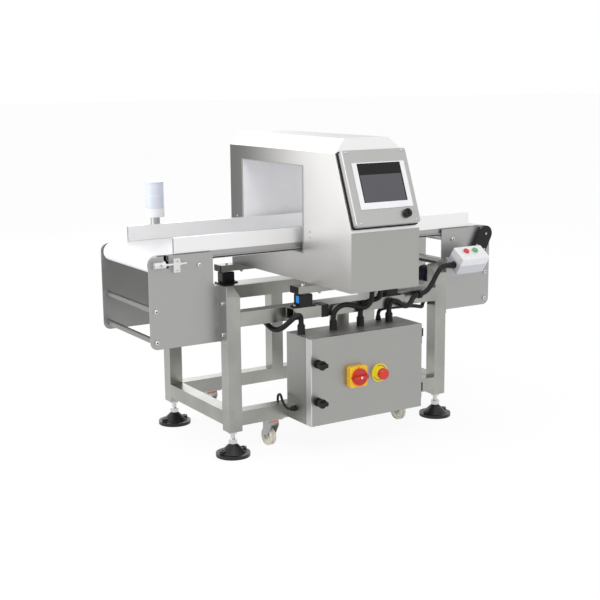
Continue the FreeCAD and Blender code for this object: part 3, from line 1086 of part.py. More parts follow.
BRACKETS.append(group("box_hinges", [knuckle("low_shell_knuckle", "low", "shell"),
                                     knuckle("high_shell_knuckle", "high", "shell")]))
node("door_fittings", group("door_fittings", [switch_base, stop_disc, knuckle("low_door_knuckle", "low", "door"),
                                              knuckle("high_door_knuckle", "high", "door")]))
for name, z in LOCKS:
    grip = cut(name + "_grip", rod(name + "_knob", "lock_x", "door_front - lock_out", z, "lock_r", "lock_out * 0.4", "Y"),
               box(name + "_flat0", "lock_x - lock_r", "door_front - lock_out", z + " + lock_r * 0.45", "2 * lock_r",
                   "lock_out * 0.22", "lock_r"),
               box(name + "_flat1", "lock_x - lock_r", "door_front - lock_out", z + " - lock_r * 1.45", "2 * lock_r",
                   "lock_out * 0.22", "lock_r"))
    stages = [grip,
              rod(name + "_neck", "lock_x", "door_front - lock_out * 0.62", z, "lock_r * 0.7", "lock_out * 0.45", "Y"),
              rod(name + "_foot", "lock_x", "door_front - lock_out * 0.18", z, "lock_r * 0.95", "lock_out * 0.18 - run_gap", "Y"),
              rod(name + "_stem", "lock_x", "door_front - run_gap", z, "lock_r * 0.5", "door_wall * 2 + 2 * run_gap + 8", "Y"),
              box(name + "_cam", "lock_x - 22", "door_front + door_wall + run_gap + 6", z + " - 6", "28", "3", "12")]
    node(name, fuse(name, stages))
handle_back = "door_front - switch_t - run_gap"
handle = fuse("main_switch_handle", [
    rod("handle_disc", "switch_x", handle_back + " - handle_out * 0.45", "switch_z", "handle_r", "handle_out * 0.45", "Y"),
    box("handle_grip", "switch_x - handle_r * 0.95", handle_back + " - handle_out", "switch_z - handle_r * 0.2",
        "handle_r * 1.9", "handle_out * 0.6", "handle_r * 0.4"),
    rod("handle_stem", "switch_x", handle_back, "switch_z", "bolt_r", "switch_t + door_wall + 10", "Y")])
node("main_switch_handle", handle)
stop_face = "door_front - stop_travel * 3 - run_gap"
node("emergency_stop_head", fuse("emergency_stop_head", [
    rod("stop_mushroom", "stop_axis_x", stop_face + " - stop_head_r * 0.6", "stop_axis_z", "stop_head_r", "stop_head_r * 0.6", "Y"),
    cone("stop_crown", "stop_axis_x", stop_face + " - stop_head_r * 0.8", "stop_axis_z", "stop_head_r * 0.75", "stop_head_r",
         "stop_head_r * 0.2", "Y"),
    rod("stop_stem", "stop_axis_x", stop_face, "stop_axis_z", "stop_head_r * 0.4", "stop_travel * 4 + door_wall", "Y")]))

# ---- button station: a tilted two-part box on a bent bracket
def tilted(obj):
    obj.Placement = FreeCAD.Placement(FreeCAD.Vector(), FreeCAD.Rotation(FreeCAD.Vector(1, 0, 0), 30))
    bind(obj, "Placement.Rotation.Angle", "station_tilt")
    return at(obj, "station_x", "station_y", "station_z")


station_rect = rect("0", "station_w", "0", "station_l")
inset_rect = rect("cover_wall", "station_w - cover_wall", "cover_wall", "station_l - cover_wall")
corners = [("station_round", list(range(4)))]
base = cut("station_tray", body("station_tub", "XY", "0", station_rect, "station_base_h", rounds=corners),
           body("station_tub_room", "XY", "cover_wall", inset_rect, "station_base_h"))
node("station_base", tilted(group("station_base", [base])))
BUTTONS = (("stop_button", "button_first"), ("start_button", "button_first + button_pitch"))
face = "station_base_h + station_lid_h"
lid_holes = [rod(name + "_hole", x, "button_up", "station_base_h", "button_r * 0.6 + thread_gap", "station_lid_h + ring_h")
             for name, x in BUTTONS]
rings = [cut(name + "_ring", rod(name + "_ring_body", x, "button_up", face, "ring_r", "ring_h"),
             rod(name + "_ring_bore", x, "button_up", face, "button_r + run_gap", "ring_h")) for name, x in BUTTONS]
lid_shell = cut("station_cap", body("station_hood", "XY", "station_base_h", station_rect, "station_lid_h", rounds=corners,
                                    crown="station_round * 0.5"),
                body("station_hood_room", "XY", "station_base_h", inset_rect, "station_lid_h - cover_wall"), *lid_holes)
node("station_lid", tilted(group("station_lid", [lid_shell] + rings)))
for name, x in BUTTONS:
    cap = rod(name + "_cap", x, "button_up", face + " + button_travel + run_gap", "button_r",
              "button_out - button_travel + ring_h * 0.5")
    stem = rod(name + "_stem", x, "button_up", face + " - cover_wall - button_travel - 6", "button_r * 0.6",
               "cover_wall + 2 * button_travel + 6 + run_gap")
    node(name, tilted(group(name, [fuse(name + "_solid", [cap, stem])])))
leaf_w = "station_w * 0.65"
leaf = box("station_leaf", "leaf_inset", "0", "-plate_t", leaf_w,
           "(-station_y - plate_y - plate_t * sin(station_tilt)) / cos(station_tilt)", "plate_t")
upright = box("station_upright", "station_x + leaf_inset", "-(plate_y + plate_t)",
              "station_z + (-station_y - plate_y) * tan(station_tilt) - leaf_drop", leaf_w, "plate_t", "leaf_drop - plate_t")
BRACKETS.append(fuse("station_bracket", [tilted(group("station_leaf_tilted", [leaf])), upright]))

# ---- signal lamp on the far infeed side plate
lens_low = "lamp_z + lamp_base_h"
lamp = [rod("lamp_base", "lamp_x", "lamp_y", "lamp_z", "lamp_r", "lamp_base_h"),
        rod("lamp_lens0", "lamp_x", "lamp_y", lens_low, "lamp_r - 1", "lens_h"),
        rod("lamp_lens1", "lamp_x", "lamp_y", lens_low + " + lens_h", "lamp_r - 1", "lens_h"),
        rod("lamp_cap", "lamp_x", "lamp_y", lens_low + " + 2 * lens_h", "lamp_r", "lamp_cap_h")]
node("signal_lamp", group("signal_lamp", lamp))
stem = fuse("lamp_stem", [rod("lamp_tube", "lamp_x", "lamp_y", "stem_foot_z", "stem_r", "lamp_z - stem_foot_z"),
                          box("lamp_shelf", "lamp_x - 2 * stem_r", "plate_y", "stem_foot_z - plate_t", "3 * stem_r",
                              "lamp_y - plate_y + stem_r * 1.3", "plate_t"),
                          box("lamp_leaf", "lamp_x - 3.4 * stem_r", "plate_y", "stem_foot_z - 50", "3 * stem_r", "plate_t",
                              "50")])
BRACKETS.append(stem)
node("mounting_brackets", group("mounting_brackets", BRACKETS))


# ---- conduit glands and clips
def gland(name, x, y, z, axis, r="gland_r", length="gland_h", back=False):
    """A gland that stands off a face: a hexagon, a body and a domed nut."""
    steps = [(hexagon, "0", "0.3", "1"), (rod, "0.3", "0.4", "0.86"), (cone, "0.7", "0.3", "0.84")]
    parts = []
    for k, (make, start, share, wide) in enumerate(steps):
        where = {"X": x, "Y": y, "Z": z}
        low = "%s %s (%s) * %s" % (where[axis], "-" if back else "+", length,
                                   "(%s + %s)" % (start, share) if back else start)
        where[axis] = low
        part = name + "_%d" % k
        if make is cone:
            low_r, high_r = ("(%s) * %s" % (r, wide), "(%s) * 0.7" % r)
            if back:
                low_r, high_r = high_r, low_r
            parts.append(cone(part, where["X"], where["Y"], where["Z"], low_r, high_r, "(%s) * %s" % (length, share), axis))
        else:
            parts.append(make(part, where["X"], where["Y"], where["Z"], "(%s) * %s" % (r, wide),
                              "(%s) * %s" % (length, share), axis))
    return fuse(name, parts)


TOP_GLANDS = ((-215, "1"), (-83, "1"), (32, "1"), (157, "1"))
fittings = [gland("top_gland%d" % k, str(x), "gland_y", "box_top", "Z") for k, (x, _) in enumerate(TOP_GLANDS)]
fittings.append(gland("motor_gland", "143", "-272", "box_top", "Z", "gland_r * 0.74", "16.6"))
fittings.append(gland("side_gland", "box_left", "-312", "box_z + 44", "X", "gland_r * 0.74", "20", True))
fittings += [gland("head_gland%d" % k, x, "-347", "head_z", "Z", "gland_r * 0.9", "gland_h", True)
             for k, x in enumerate(("62", "98"))]
fittings.append(gland("frame_gland", "-frame_in_x", "-172", "up_rail_z + 14", "X", "gland_r * 0.9", "28"))
fittings.append(gland("station_gland", "station_x", "station_y + 11", "station_z + 36", "X", "gland_r * 0.9", "34", True))
fittings.append(gland("terminal_gland", "motor_x + gear_shift - motor_r * 0.7", "-plate_in_y + gear_deep + motor_l * 0.45",
                      "motor_z - gear_drop - motor_r * 1.05", "X", "gland_r * 0.74", "18", True))
clip_ring = cut("clip_ring", rod("clip_ring_outer", "319", "-279", "493", "hose_r + 5", "12", "X"),
                rod("clip_ring_inner", "319", "-279", "493", "hose_r + 1.8", "12", "X"))
clip_foot = box("clip_foot", "319", "-frame_y - 10", "up_rail_z + 29", "12", "10", "16")
fittings.append(fuse("conduit_clip", [clip_ring, clip_foot]))
strap = cut("strap_loop", box("strap_outer", "strap_x", "-(frame_y + beam_deep + strap_t)",
                              "up_rail_top - beam_high - strap_t", "strap_w", "beam_deep + strap_t",
                              "beam_high + 2 * strap_t"),
            box("strap_inner", "strap_x", "-(frame_y + beam_deep)", "up_rail_top - beam_high", "strap_w", "beam_deep",
                "beam_high"))
fittings.append(strap)
lug = fuse("earth_lug", [box("lug_tab", "-248", "-frame_in_y", "low_rail_z + 9", "10", "3", "18"),
                         rod("lug_barrel", "-243", "-frame_in_y + lead_r + 1", "low_rail_z + 19", "lead_r", "12")])
fittings.append(lug)
node("cable_fittings", group("cable_fittings", fittings))
BOLTS.append(rod("lug_bolt", "-243", "-frame_in_y + 3", "low_rail_z + 14", "bolt_r", "bolt_head_h * 0.5", "Y"))


# ---- conduits: straight runs joined by tangent arcs, through points that stay as chosen
def conduit(label, radius, points):
    r = val(radius)
    spots = [FreeCAD.Vector(*p) for p in points]
    runs = [(b - a).Length for a, b in zip(spots, spots[1:])]
    edges = []
    start = spots[0]
    length = 0.0
    tightest = 1e9
    for i in range(1, len(spots) - 1):
        before = (spots[i] - spots[i - 1]).normalize()
        after = (spots[i + 1] - spots[i]).normalize()
        half = before.getAngle(after) / 2
        short = min(runs[i - 1], runs[i])
        bend = 0.45 * short / math.tan(half)
        reach = 0.45 * short
        a = spots[i] - before * reach
        b = spots[i] + after * reach
        inward = (after - before).normalize()
        centre = spots[i] + inward * (bend / math.cos(half))
        middle = centre - inward * bend
        edges.append(Part.LineSegment(start, a).toShape())
        edges.append(Part.Arc(a, middle, b).toShape())
        length += (a - start).Length + bend * 2 * half
        tightest = min(tightest, bend)
        start = b
    edges.append(Part.LineSegment(start, spots[-1]).toShape())
    length += (spots[-1] - start).Length
    path = Part.Wire(edges)
    first = (spots[1] - spots[0]).normalize()
    section = Part.Wire([Part.makeCircle(r, spots[0], first)])
    shape = path.makePipeShell([section], True, False)
    if shape.ShapeType != "Solid":
        shape = Part.Solid(shape) if shape.ShapeType == "Shell" else shape.Solids[0]
    o = doc.addObject("Part::Feature", label)
    o.Shape = shape
    want = math.pi * r * r * length
    print("%s: length %.0f mm, tightest bend %.0f mm, volume %.4f of section x length" % (
        label, length, tightest, shape.Volume / want))
    return node(label, o)


conduit("hose_lamp", "hose_r", [(-215, -318, 453.4), (-215, -318, 471), (-225, -326, 487), (-244, -325, 482),
                                (-257, -306, 461), (-268, -281, 438), (-276, -253, 426), (-280, -223, 429),
                                (-284, -196, 444), (-301, -178, 461), (-330, -173, 467), (-361, -172, 470),
                                (-390, -172, 470)])
conduit("hose_head_power", "hose_r", [(-83, -318, 453.4), (-83, -318, 473), (-73, -327, 495), (-46, -334, 506),
                                      (-14, -338, 500), (14, -342, 488), (38, -345, 488), (56, -347, 503),
                                      (62, -347, 523), (62, -347, 543)])
conduit("hose_head_signal", "hose_r", [(32, -318, 453.4), (32, -318, 474), (43, -318, 493), (65, -319, 502),
                                       (86, -327, 507), (97, -340, 514), (98, -347, 527), (98, -347, 543)])
conduit("hose_motor", "thin_hose_r", [(143, -272, 434), (143, -272, 446), (153, -272, 456), (175, -272, 457.5),
                                      (215, -272.5, 457), (262, -273, 455), (302, -273, 452), (335, -267, 444),
                                      (364, -246, 437), (390, -212, 436), (425, -176, 440), (475, -136, 438),
                                      (520, -97, 431), (555, -60, 429), (578, -50.2, 431.8), (600, -50.2, 431.8)])
conduit("hose_station", "hose_r", [(157, -318, 453.4), (157, -318, 476), (167, -324, 494), (191, -326, 490),
                                   (210, -324, 472), (236, -322, 465), (264, -307, 473), (291, -285, 489),
                                   (325, -279, 493), (359, -278, 500), (387, -275, 526), (408, -273, 558),
                                   (434, -272, 587), (461, -272, 587)])
conduit("earth_lead", "lead_r", [(-256.55, -312, 156), (-264, -312, 156), (-270, -304, 161), (-270, -289, 168),
                                 (-265, -268, 179), (-255, -244, 187), (-246, -220, 187), (-243, -202, 177),
                                 (-243, -200.5, 158), (-243, -200.5, 140)])
node("rods_and_bolts", group("rods_and_bolts", BOLTS))


# ---- checks, then one file for each piece
doc.recompute()
faults = [o.Name for o in doc.Objects if "Invalid" in o.State or "Error" in o.State]
if faults:
    raise SystemExit("these features did not build: " + ", ".join(faults))
for piece in OUT:
    if piece.Shape.isNull() or not piece.Shape.isValid() or not piece.Shape.Solids:
        raise SystemExit("not a sound shape: " + piece.Label)
os.makedirs("parts", exist_ok=True)
for piece in OUT:
    piece.Shape.exportStep("parts/" + piece.Label + ".step")
print("pieces:", len(OUT))
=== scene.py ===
# %% [markdown]
# # A conveyor metal detector
# Packs ride on a belt through the tunnel of a detector head. This script dresses the CAD
# model of the machine: it first loads the model, then sets the camera, lays the conduits,
# makes the finishes, and adds the small pieces that the solids leave out.

# %% Load the machine
import math
import bmesh
import bpy
from mathutils import Matrix, Vector


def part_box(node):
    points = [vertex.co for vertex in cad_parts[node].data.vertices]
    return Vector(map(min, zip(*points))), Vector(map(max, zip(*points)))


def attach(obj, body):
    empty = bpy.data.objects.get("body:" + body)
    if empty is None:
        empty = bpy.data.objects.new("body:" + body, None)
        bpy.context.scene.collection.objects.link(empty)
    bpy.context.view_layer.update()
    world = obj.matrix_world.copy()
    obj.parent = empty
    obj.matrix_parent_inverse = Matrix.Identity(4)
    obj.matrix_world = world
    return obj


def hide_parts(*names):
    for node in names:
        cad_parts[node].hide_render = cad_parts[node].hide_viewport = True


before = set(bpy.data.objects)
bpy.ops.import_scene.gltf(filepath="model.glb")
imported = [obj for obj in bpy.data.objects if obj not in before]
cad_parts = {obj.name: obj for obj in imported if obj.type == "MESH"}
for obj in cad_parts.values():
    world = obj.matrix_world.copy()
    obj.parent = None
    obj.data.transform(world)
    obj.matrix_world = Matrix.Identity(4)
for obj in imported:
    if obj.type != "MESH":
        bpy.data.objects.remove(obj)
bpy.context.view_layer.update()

scene = bpy.context.scene

# %% [markdown]
# ## Camera
# The machine is seen from its operator side, from the left and a little above, through a
# long lens. A long lens keeps upright edges nearly parallel, as catalogue pictures do.

# %% Camera
azimuth = math.radians(-31.8)
elevation = math.radians(10.9)
lens_roll = math.radians(-0.5)
camera_data = bpy.data.cameras.new("camera")
camera_data.sensor_width = 36
camera_data.lens = 1153.6 * 36 / 600
camera = bpy.data.objects.new("camera", camera_data)
scene.collection.objects.link(camera)
right = Vector((math.cos(azimuth), math.sin(azimuth), 0))
forward = Vector((-math.sin(azimuth) * math.cos(elevation), math.cos(azimuth) * math.cos(elevation),
                  -math.sin(elevation)))
up = right.cross(forward)
side = right * math.cos(lens_roll) + up * math.sin(lens_roll)
top = up * math.cos(lens_roll) - right * math.sin(lens_roll)
turn = Matrix((side, top, -forward)).transposed()
camera.matrix_world = Matrix.Translation((-2.2587, -3.6078, 1.2826)) @ turn.to_4x4()
scene.camera = camera
print("lens", round(camera_data.lens, 1), "mm")

# %% [markdown]
# ## Shader maths
# A finish is built from a few nodes. Writing them as arithmetic keeps each finish short:
# a Signal is one output of a node, and adding or multiplying two of them adds a Math node.


# %% Signals and finishes
class Signal:
    """One output of a shader node, ready for arithmetic."""

    def __init__(self, finish, socket):
        self.finish = finish
        self.socket = socket

    def math(self, operation, *others):
        return self.finish.node("Math", {"operation": operation}, *others)

    def __add__(self, other):
        return self.math("ADD", self, other)

    def __radd__(self, other):
        return self.math("ADD", other, self)

    def __sub__(self, other):
        return self.math("SUBTRACT", self, other)

    def __rsub__(self, other):
        return self.math("SUBTRACT", other, self)

    def __mul__(self, other):
        return self.math("MULTIPLY", self, other)

    def __rmul__(self, other):
        return self.math("MULTIPLY", other, self)

    def __truediv__(self, other):
        return self.math("DIVIDE", self, other)

    def __lt__(self, other):
        return self.math("LESS_THAN", self, other)

    def __gt__(self, other):
        return self.math("GREATER_THAN", self, other)

    def ramp(self, low, high, start=0.0, end=1.0):
        """Runs from start to end while this signal runs from low to high."""
        settings = {"clamp": True, "interpolation_type": "SMOOTHSTEP"}
        return self.finish.node("MapRange", settings, self, low, high, start, end)


class Finish:
    """A material with one Principled shader, and the nodes that vary it."""

    def __init__(self, name, colour, roughness, metallic=0.0, **plain):
        self.material = bpy.data.materials.new(name)
        self.material.use_nodes = True
        self.tree = self.material.node_tree
        self.shader = self.tree.nodes["Principled BSDF"]
        self.colour = (*colour, 1.0)
        self.shader.inputs["Base Color"].default_value = self.colour
        self.shader.inputs["Roughness"].default_value = roughness
        self.shader.inputs["Metallic"].default_value = metallic
        for words, value in plain.items():
            self.shader.inputs[words.replace("_", " ")].default_value = value
        self.material.diffuse_color = self.colour
        self.place = None

    def node(self, kind, settings, *values, out=0, **named):
        """Adds a node, sets it up, then fills its sockets with numbers or signals."""
        made = self.tree.nodes.new("ShaderNode" + kind)
        for word, setting in settings.items():
            if word == "stops":
                while len(made.color_ramp.elements) < len(setting):
                    made.color_ramp.elements.new(1.0)
                for element, (where, colour) in zip(made.color_ramp.elements, setting):
                    element.position = where
                    element.color = (*colour, 1.0)
            else:
                setattr(made, word, setting)
        filled = list(zip([s for s in made.inputs if s.enabled], values))
        filled += [(made.inputs[word.replace("_", " ")], value) for word, value in named.items()]
        for socket, value in filled:
            if value is None:
                continue
            if isinstance(value, Signal):
                self.tree.links.new(value.socket, socket)
            else:
                socket.default_value = value
        return Signal(self, made.outputs[out])

    def at(self, axis=None):
        """Object coordinates, or one of them, in metres."""
        if self.place is None:
            self.place = self.node("TexCoord", {}, out=3)
            self.axes = self.node("SeparateXYZ", {}, self.place)
        if axis is None:
            return self.place
        return Signal(self, self.axes.socket.node.outputs[axis])

    def noise(self, scale, detail=2.0, stretch=(1.0, 1.0, 1.0)):
        """Noise from 0 to 1; a stretch below 1 draws its grain out along that axis."""
        spot = self.node("Mapping", {}, self.at(), (0, 0, 0), (0, 0, 0), stretch)
        return self.node("TexNoise", {}, Vector=spot, Scale=scale, Detail=detail)

    def blend(self, mask, first, second):
        """The first colour where mask is 0 and the second where it is 1."""
        settings = {"data_type": "RGBA"}
        made = self.node("Mix", settings, out=2, Factor=mask).socket.node
        for socket, value in ((made.inputs[6], first), (made.inputs[7], second)):
            if isinstance(value, Signal):
                self.tree.links.new(value.socket, socket)
            else:
                socket.default_value = (*value, 1.0)
        return Signal(self, made.outputs[2])

    def feed(self, socket, signal):
        self.tree.links.new(signal.socket, self.shader.inputs[socket])
        return self

    def current(self, socket):
        """What a socket holds now: a signal where it is linked, otherwise a plain value."""
        plug = self.shader.inputs[socket]
        if plug.is_linked:
            return Signal(self, plug.links[0].from_socket)
        return tuple(plug.default_value)[:3] if socket == "Base Color" else plug.default_value

    def inside(self, **spans):
        """A mask that is 1 in a box, given as x=(low, high) and so on, in metres."""
        mask = None
        for axis, (low, high) in spans.items():
            place = self.at("xyz".index(axis))
            span = (place > low) * (place < high)
            mask = span if mask is None else mask * span
        return mask

    def ringed(self, centre, low, high):
        """A mask that is 1 between two radii about a point (x, z) of a front face."""
        across = self.at(0) - centre[0]
        upward = self.at(2) - centre[1]
        reach = (across * across + upward * upward).math("SQRT", across * across + upward * upward)
        return (reach > low) * (reach < high)

    def zone(self, mask, colour, rough, metallic=0.0):
        """Gives the part where mask is 1 another colour, gloss and metallic."""
        self.feed("Base Color", self.blend(mask, self.current("Base Color"), colour))
        for socket, value in (("Roughness", rough), ("Metallic", metallic)):
            before = self.current(socket)
            self.feed(socket, before + mask * (value - before))
        return self

    def relief(self, height, depth, edge=0.0):
        """Bumps the surface by height times depth metres, and softens edges by edge metres."""
        rounded = self.node("Bevel", {"samples": 4}, edge) if edge else None
        bump = self.node("Bump", {}, Height=height, Distance=depth, Strength=1.0)
        if rounded:
            self.tree.links.new(rounded.socket, bump.socket.node.inputs["Normal"])
        return self.feed("Normal", bump)


# %% [markdown]
# ## Brushed stainless steel
# The sheet metal is ground with a belt in one direction. Fine scratches along that
# direction make the gloss uneven, so stretched noise drives both roughness and a very
# shallow bump. A slow noise on top gives the clouding that handling leaves.


# %% Brushed sheet
def brushed(name, level, grain=0, rough=0.38, grit=0.10, cloud=0.10, warm=0.0, edge=0.0012):
    """Stainless steel of that brightness, ground along axis 0, 1 or 2."""
    finish = Finish(name, (level, level, level * 0.98), rough, 1.0)
    stretch = [1.0, 1.0, 1.0]
    stretch[grain] = 0.02
    scratches = finish.noise(2200, 3, stretch)
    streaks = finish.noise(260, 2, stretch)
    clouds = finish.noise(7, 3)
    wear = 1.0 - grit / 2 + grit * (0.5 * scratches + 0.5 * streaks) + cloud * (clouds - 0.5)
    tone = finish.node("CombineColor", {}, level * wear, level * wear, level * wear * (0.985 - warm * clouds))
    finish.feed("Base Color", tone)
    finish.feed("Roughness", rough - 0.06 + 0.12 * (0.6 * streaks + 0.4 * clouds))
    return finish.relief(scratches, 0.00001, edge)


# %% The head, whose steel is painted light at the front and painted shade at the back
head_steel = brushed("head_steel", 0.40, grain=2, grit=0.05, cloud=0.06)
# Painted light and shade: a ramp along y multiplies the steel colour by about 2.1 at the front and 0.39 at
# the back, standing in for the light on the sides.
painted_light_ramp = head_steel.at(1).ramp(-0.40, 0.30, 0.0, 1.0)
painted_light_and_shade = head_steel.blend(painted_light_ramp, (2.10, 2.06, 2.05), (0.39, 0.39, 0.385))
painted_light_mix = head_steel.node("Mix", {"data_type": "RGBA", "blend_type": "MULTIPLY"},
                         out=2, Factor=1.0).socket.node
head_steel.tree.links.new(head_steel.current("Base Color").socket, painted_light_mix.inputs[6])
head_steel.tree.links.new(painted_light_and_shade.socket, painted_light_mix.inputs[7])
head_steel.feed("Base Color", Signal(head_steel, painted_light_mix.outputs[2]))
# Painted highlight: the sloped front of the head is painted far brighter than the plain steel, for the light
# it catches.
head_steel.zone(head_steel.inside(x=(-0.1390, 0.1390), y=(-0.5115, -0.38), z=(0.7815, 1.084)),
                (0.86, 0.85, 0.86), 0.36, 1.0)
# The lower front face is set back to the plain steel level, without the painted light of the ramp.
head_steel.zone(head_steel.inside(y=(-0.52, -0.5125), z=(0.5, 0.7805)), (0.40, 0.40, 0.385), 0.40, 1.0)
# Painted highlight: the top of the head is painted brighter than its sides, for the light falling on it.
head_steel.zone(head_steel.inside(x=(-0.1388, 0.1388), y=(-0.38, 0.32), z=(1.0355, 1.084)),
                (0.60, 0.59, 0.59), 0.36, 1.0)

# %% The other sheets and tubes
plate_steel = brushed("plate_steel", 0.41, grain=0, rough=0.42, grit=0.05, cloud=0.06)
box_steel = brushed("box_steel", 0.375, grain=2, rough=0.42, grit=0.05, cloud=0.07, warm=0.04)
tube_steel = brushed("tube_steel", 0.35, grain=0, rough=0.30, grit=0.18, cloud=0.70, warm=0.10)
leg_steel = brushed("leg_steel", 0.37, grain=2, rough=0.30, grit=0.18, cloud=0.70, warm=0.10)
panel_steel = brushed("panel_steel", 0.50, grain=0, rough=0.36, grit=0.06)
rail_metal = brushed("rail_metal", 0.88, grain=0, rough=0.42, grit=0.03, cloud=0.03, warm=-0.04)
arm_steel = brushed("arm_steel", 0.32, grain=0, rough=0.34, grit=0.12, cloud=0.3, warm=0.08)
# Painted highlights: a bright line along a bend of the box at z 0.417 to 0.42 m, and a bright strip down the
# door's folded front-left edge.
box_steel.zone(box_steel.inside(z=(0.4168, 0.42)), (0.62, 0.61, 0.60), 0.42, 1.0)
box_steel.zone(box_steel.inside(x=(-0.24, -0.2325), y=(-0.42, -0.379)), (0.66, 0.65, 0.64), 0.38, 1.0)
rail_metal.zone(rail_metal.inside(x=(-0.70, -0.6385)), (0.10, 0.10, 0.10), 0.5, 0.6)
print("sheet finishes made")

# %% [markdown]
# ## Plain metals and plastics
# Zinc plate is bright with faint clouds. Moulded plastics have a fine sparkle-free grain,
# made by a shallow noise bump, and a slow change of gloss where hands have rubbed them.


# %% Other finishes
def plated(name, level, rough=0.24):
    finish = Finish(name, (level, level, level), rough, 1.0)
    clouds = finish.noise(60, 3)
    tint = finish.blend(clouds, (level * 0.86, level * 0.88, level * 0.9), (level, level, level * 0.97))
    finish.feed("Base Color", tint)
    finish.feed("Roughness", rough + 0.18 * clouds)
    return finish.relief(clouds, 0.00005, 0.0008)


def moulded(name, colour, rough, grain=0.00006, scale=1400, edge=0.001, **plain):
    finish = Finish(name, colour, rough, 0.0, **plain)
    pores = finish.noise(scale, 2)
    rubbed = finish.noise(18, 2)
    darker = tuple(c * 0.9 for c in colour)
    finish.feed("Base Color", finish.blend(rubbed, darker, colour))
    finish.feed("Roughness", rough - 0.08 + 0.16 * rubbed)
    return finish.relief(pores, grain, edge)


zinc = plated("zinc", 0.62)
bolt_steel = plated("bolt_steel", 0.72, 0.2)
chrome = plated("roller_chrome", 0.75, 0.14)
white_belt = moulded("white_belt", (0.71, 0.71, 0.72), 0.5, 0.00008, 500)
black_plastic = moulded("black_plastic", (0.006, 0.006, 0.007), 0.36, Specular_IOR_Level=0.3)
black_rubber = moulded("black_rubber", (0.006, 0.006, 0.006), 0.6, Specular_IOR_Level=0.2)
red_plastic = moulded("red_plastic", (0.62, 0.03, 0.02), 0.3)
green_plastic = moulded("green_plastic", (0.10, 0.42, 0.16), 0.3)
cream_wheel = moulded("cream_wheel", (0.72, 0.68, 0.58), 0.42)
white_gloss = moulded("white_gloss", (0.82, 0.82, 0.84), 0.25)
grey_plastic = moulded("grey_plastic", (0.60, 0.61, 0.66), 0.4)
lamp_white = moulded("lamp_white", (0.60, 0.63, 0.72), 0.3, Subsurface_Weight=0.2)
motor_paint = moulded("motor_paint", (0.008, 0.011, 0.032), 0.38, 0.0002, 260)
device_grey = moulded("device_grey", (0.55, 0.55, 0.54), 0.5)
copper = moulded("copper_coil", (0.35, 0.16, 0.06), 0.5)
conduit_black = moulded("conduit_black", (0.005, 0.005, 0.006), 0.32, Specular_IOR_Level=0.3)
print("finishes made:", len(bpy.data.materials))

# %% [markdown]
# ## Two-coloured nodes
# Some nodes hold pieces of more than one colour, such as a foot with its zinc spindle. A
# mask made from Object coordinates tells the finish where each one lies.

# %% Feet, castors and dampers
foot_black = moulded("foot_black", (0.008, 0.008, 0.009), 0.34, 0.0001, 700, Specular_IOR_Level=0.4)
foot_black.zone(foot_black.inside(z=(0.0442, 0.2)), (0.60, 0.60, 0.60), 0.26, 1.0)
fork_zinc = plated("fork_zinc", 0.42, 0.3)
fork_zinc.zone(fork_zinc.inside(z=(0.0985, 0.1049)), (0.75, 0.13, 0.02), 0.45)
damper_black = moulded("damper_black", (0.007, 0.007, 0.008), 0.42, 0.0002, 600, Specular_IOR_Level=0.3)
damper_black.zone(damper_black.inside(x=(-0.2102, -0.2096), y=(-0.297, -0.277), z=(0.521, 0.545)),
                  (0.02, 0.30, 0.85), 0.35)
damper_black.zone(damper_black.inside(z=(0.5508, 0.56)), (0.62, 0.62, 0.62), 0.3, 1.0)

# %% Door fittings: yellow switch plate, lemon stop plate and black hinges
front_yellow = moulded("front_yellow", (0.86, 0.50, 0.01), 0.32)
front_yellow.zone(front_yellow.inside(x=(0.0, 0.10)), (0.82, 0.66, 0.02), 0.34)
front_yellow.zone(front_yellow.inside(x=(0.2, 0.3)), (0.006, 0.006, 0.006), 0.4)
stop_place = (0.048, 0.264)
turn_sense = (front_yellow.at(2) - stop_place[1]).math("ARCTAN2", front_yellow.at(2) - stop_place[1],
                                                       front_yellow.at(0) - stop_place[0])
first_arc = (turn_sense > 0.5) * (turn_sense < 1.9)
second_arc = (turn_sense > -2.7) * (turn_sense < -1.3)
arrows = front_yellow.ringed(stop_place, 0.0255, 0.0280) * (first_arc + second_arc)
front_yellow.zone(arrows, (0.03, 0.02, 0.02), 0.4)
switch_place = (-0.054, 0.268)
front_yellow.zone(front_yellow.inside(x=(-0.0552, -0.0528), z=(0.2992, 0.3036)), (0.02, 0.02, 0.02), 0.4)
front_yellow.zone(front_yellow.ringed((-0.0862, 0.268), 0.0012, 0.0026), (0.02, 0.02, 0.02), 0.4)
handle_red = moulded("handle_red", (0.58, 0.02, 0.012), 0.3)
handle_red.zone(handle_red.ringed(switch_place, 0.0, 0.0042), (0.75, 0.74, 0.72), 0.3, 0.6)
handle_red.zone(handle_red.ringed(switch_place, 0.0225, 0.0238), (0.20, 0.01, 0.01), 0.4)

# %% Display, tunnel lining, brackets, rods and lamp
display_glass = moulded("display_glass", (0.004, 0.004, 0.005), 0.2, 0.0, Specular_IOR_Level=0.3)
display_glass.zone(display_glass.inside(x=(-0.080, 0.088), z=(0.8775, 0.9651)), (0.085, 0.085, 0.095), 0.2)
lining = moulded("tunnel_lining", (0.88, 0.88, 0.90), 0.45)
lip = 1.0 - lining.inside(x=(-0.1380, 0.1380))
lining.zone(lip, (0.42, 0.42, 0.41), 0.4, 1.0)
bracket_zinc = plated("bracket_zinc", 0.46, 0.3)
bracket_zinc.zone(bracket_zinc.inside(x=(0.2341, 0.26), y=(-0.41, -0.362)), (0.006, 0.006, 0.006), 0.4)
rod_steel = plated("rod_steel", 0.66, 0.2)
rod_steel.zone(rod_steel.inside(y=(-0.1975, 0.1975), z=(0.41, 0.55)), (0.27, 0.27, 0.265), 0.36, 1.0)
block_metal = plated("block_metal", 0.80, 0.3)
lamp_white.zone(lamp_white.inside(z=(0.8672, 0.8690)), (0.30, 0.33, 0.42), 0.4)
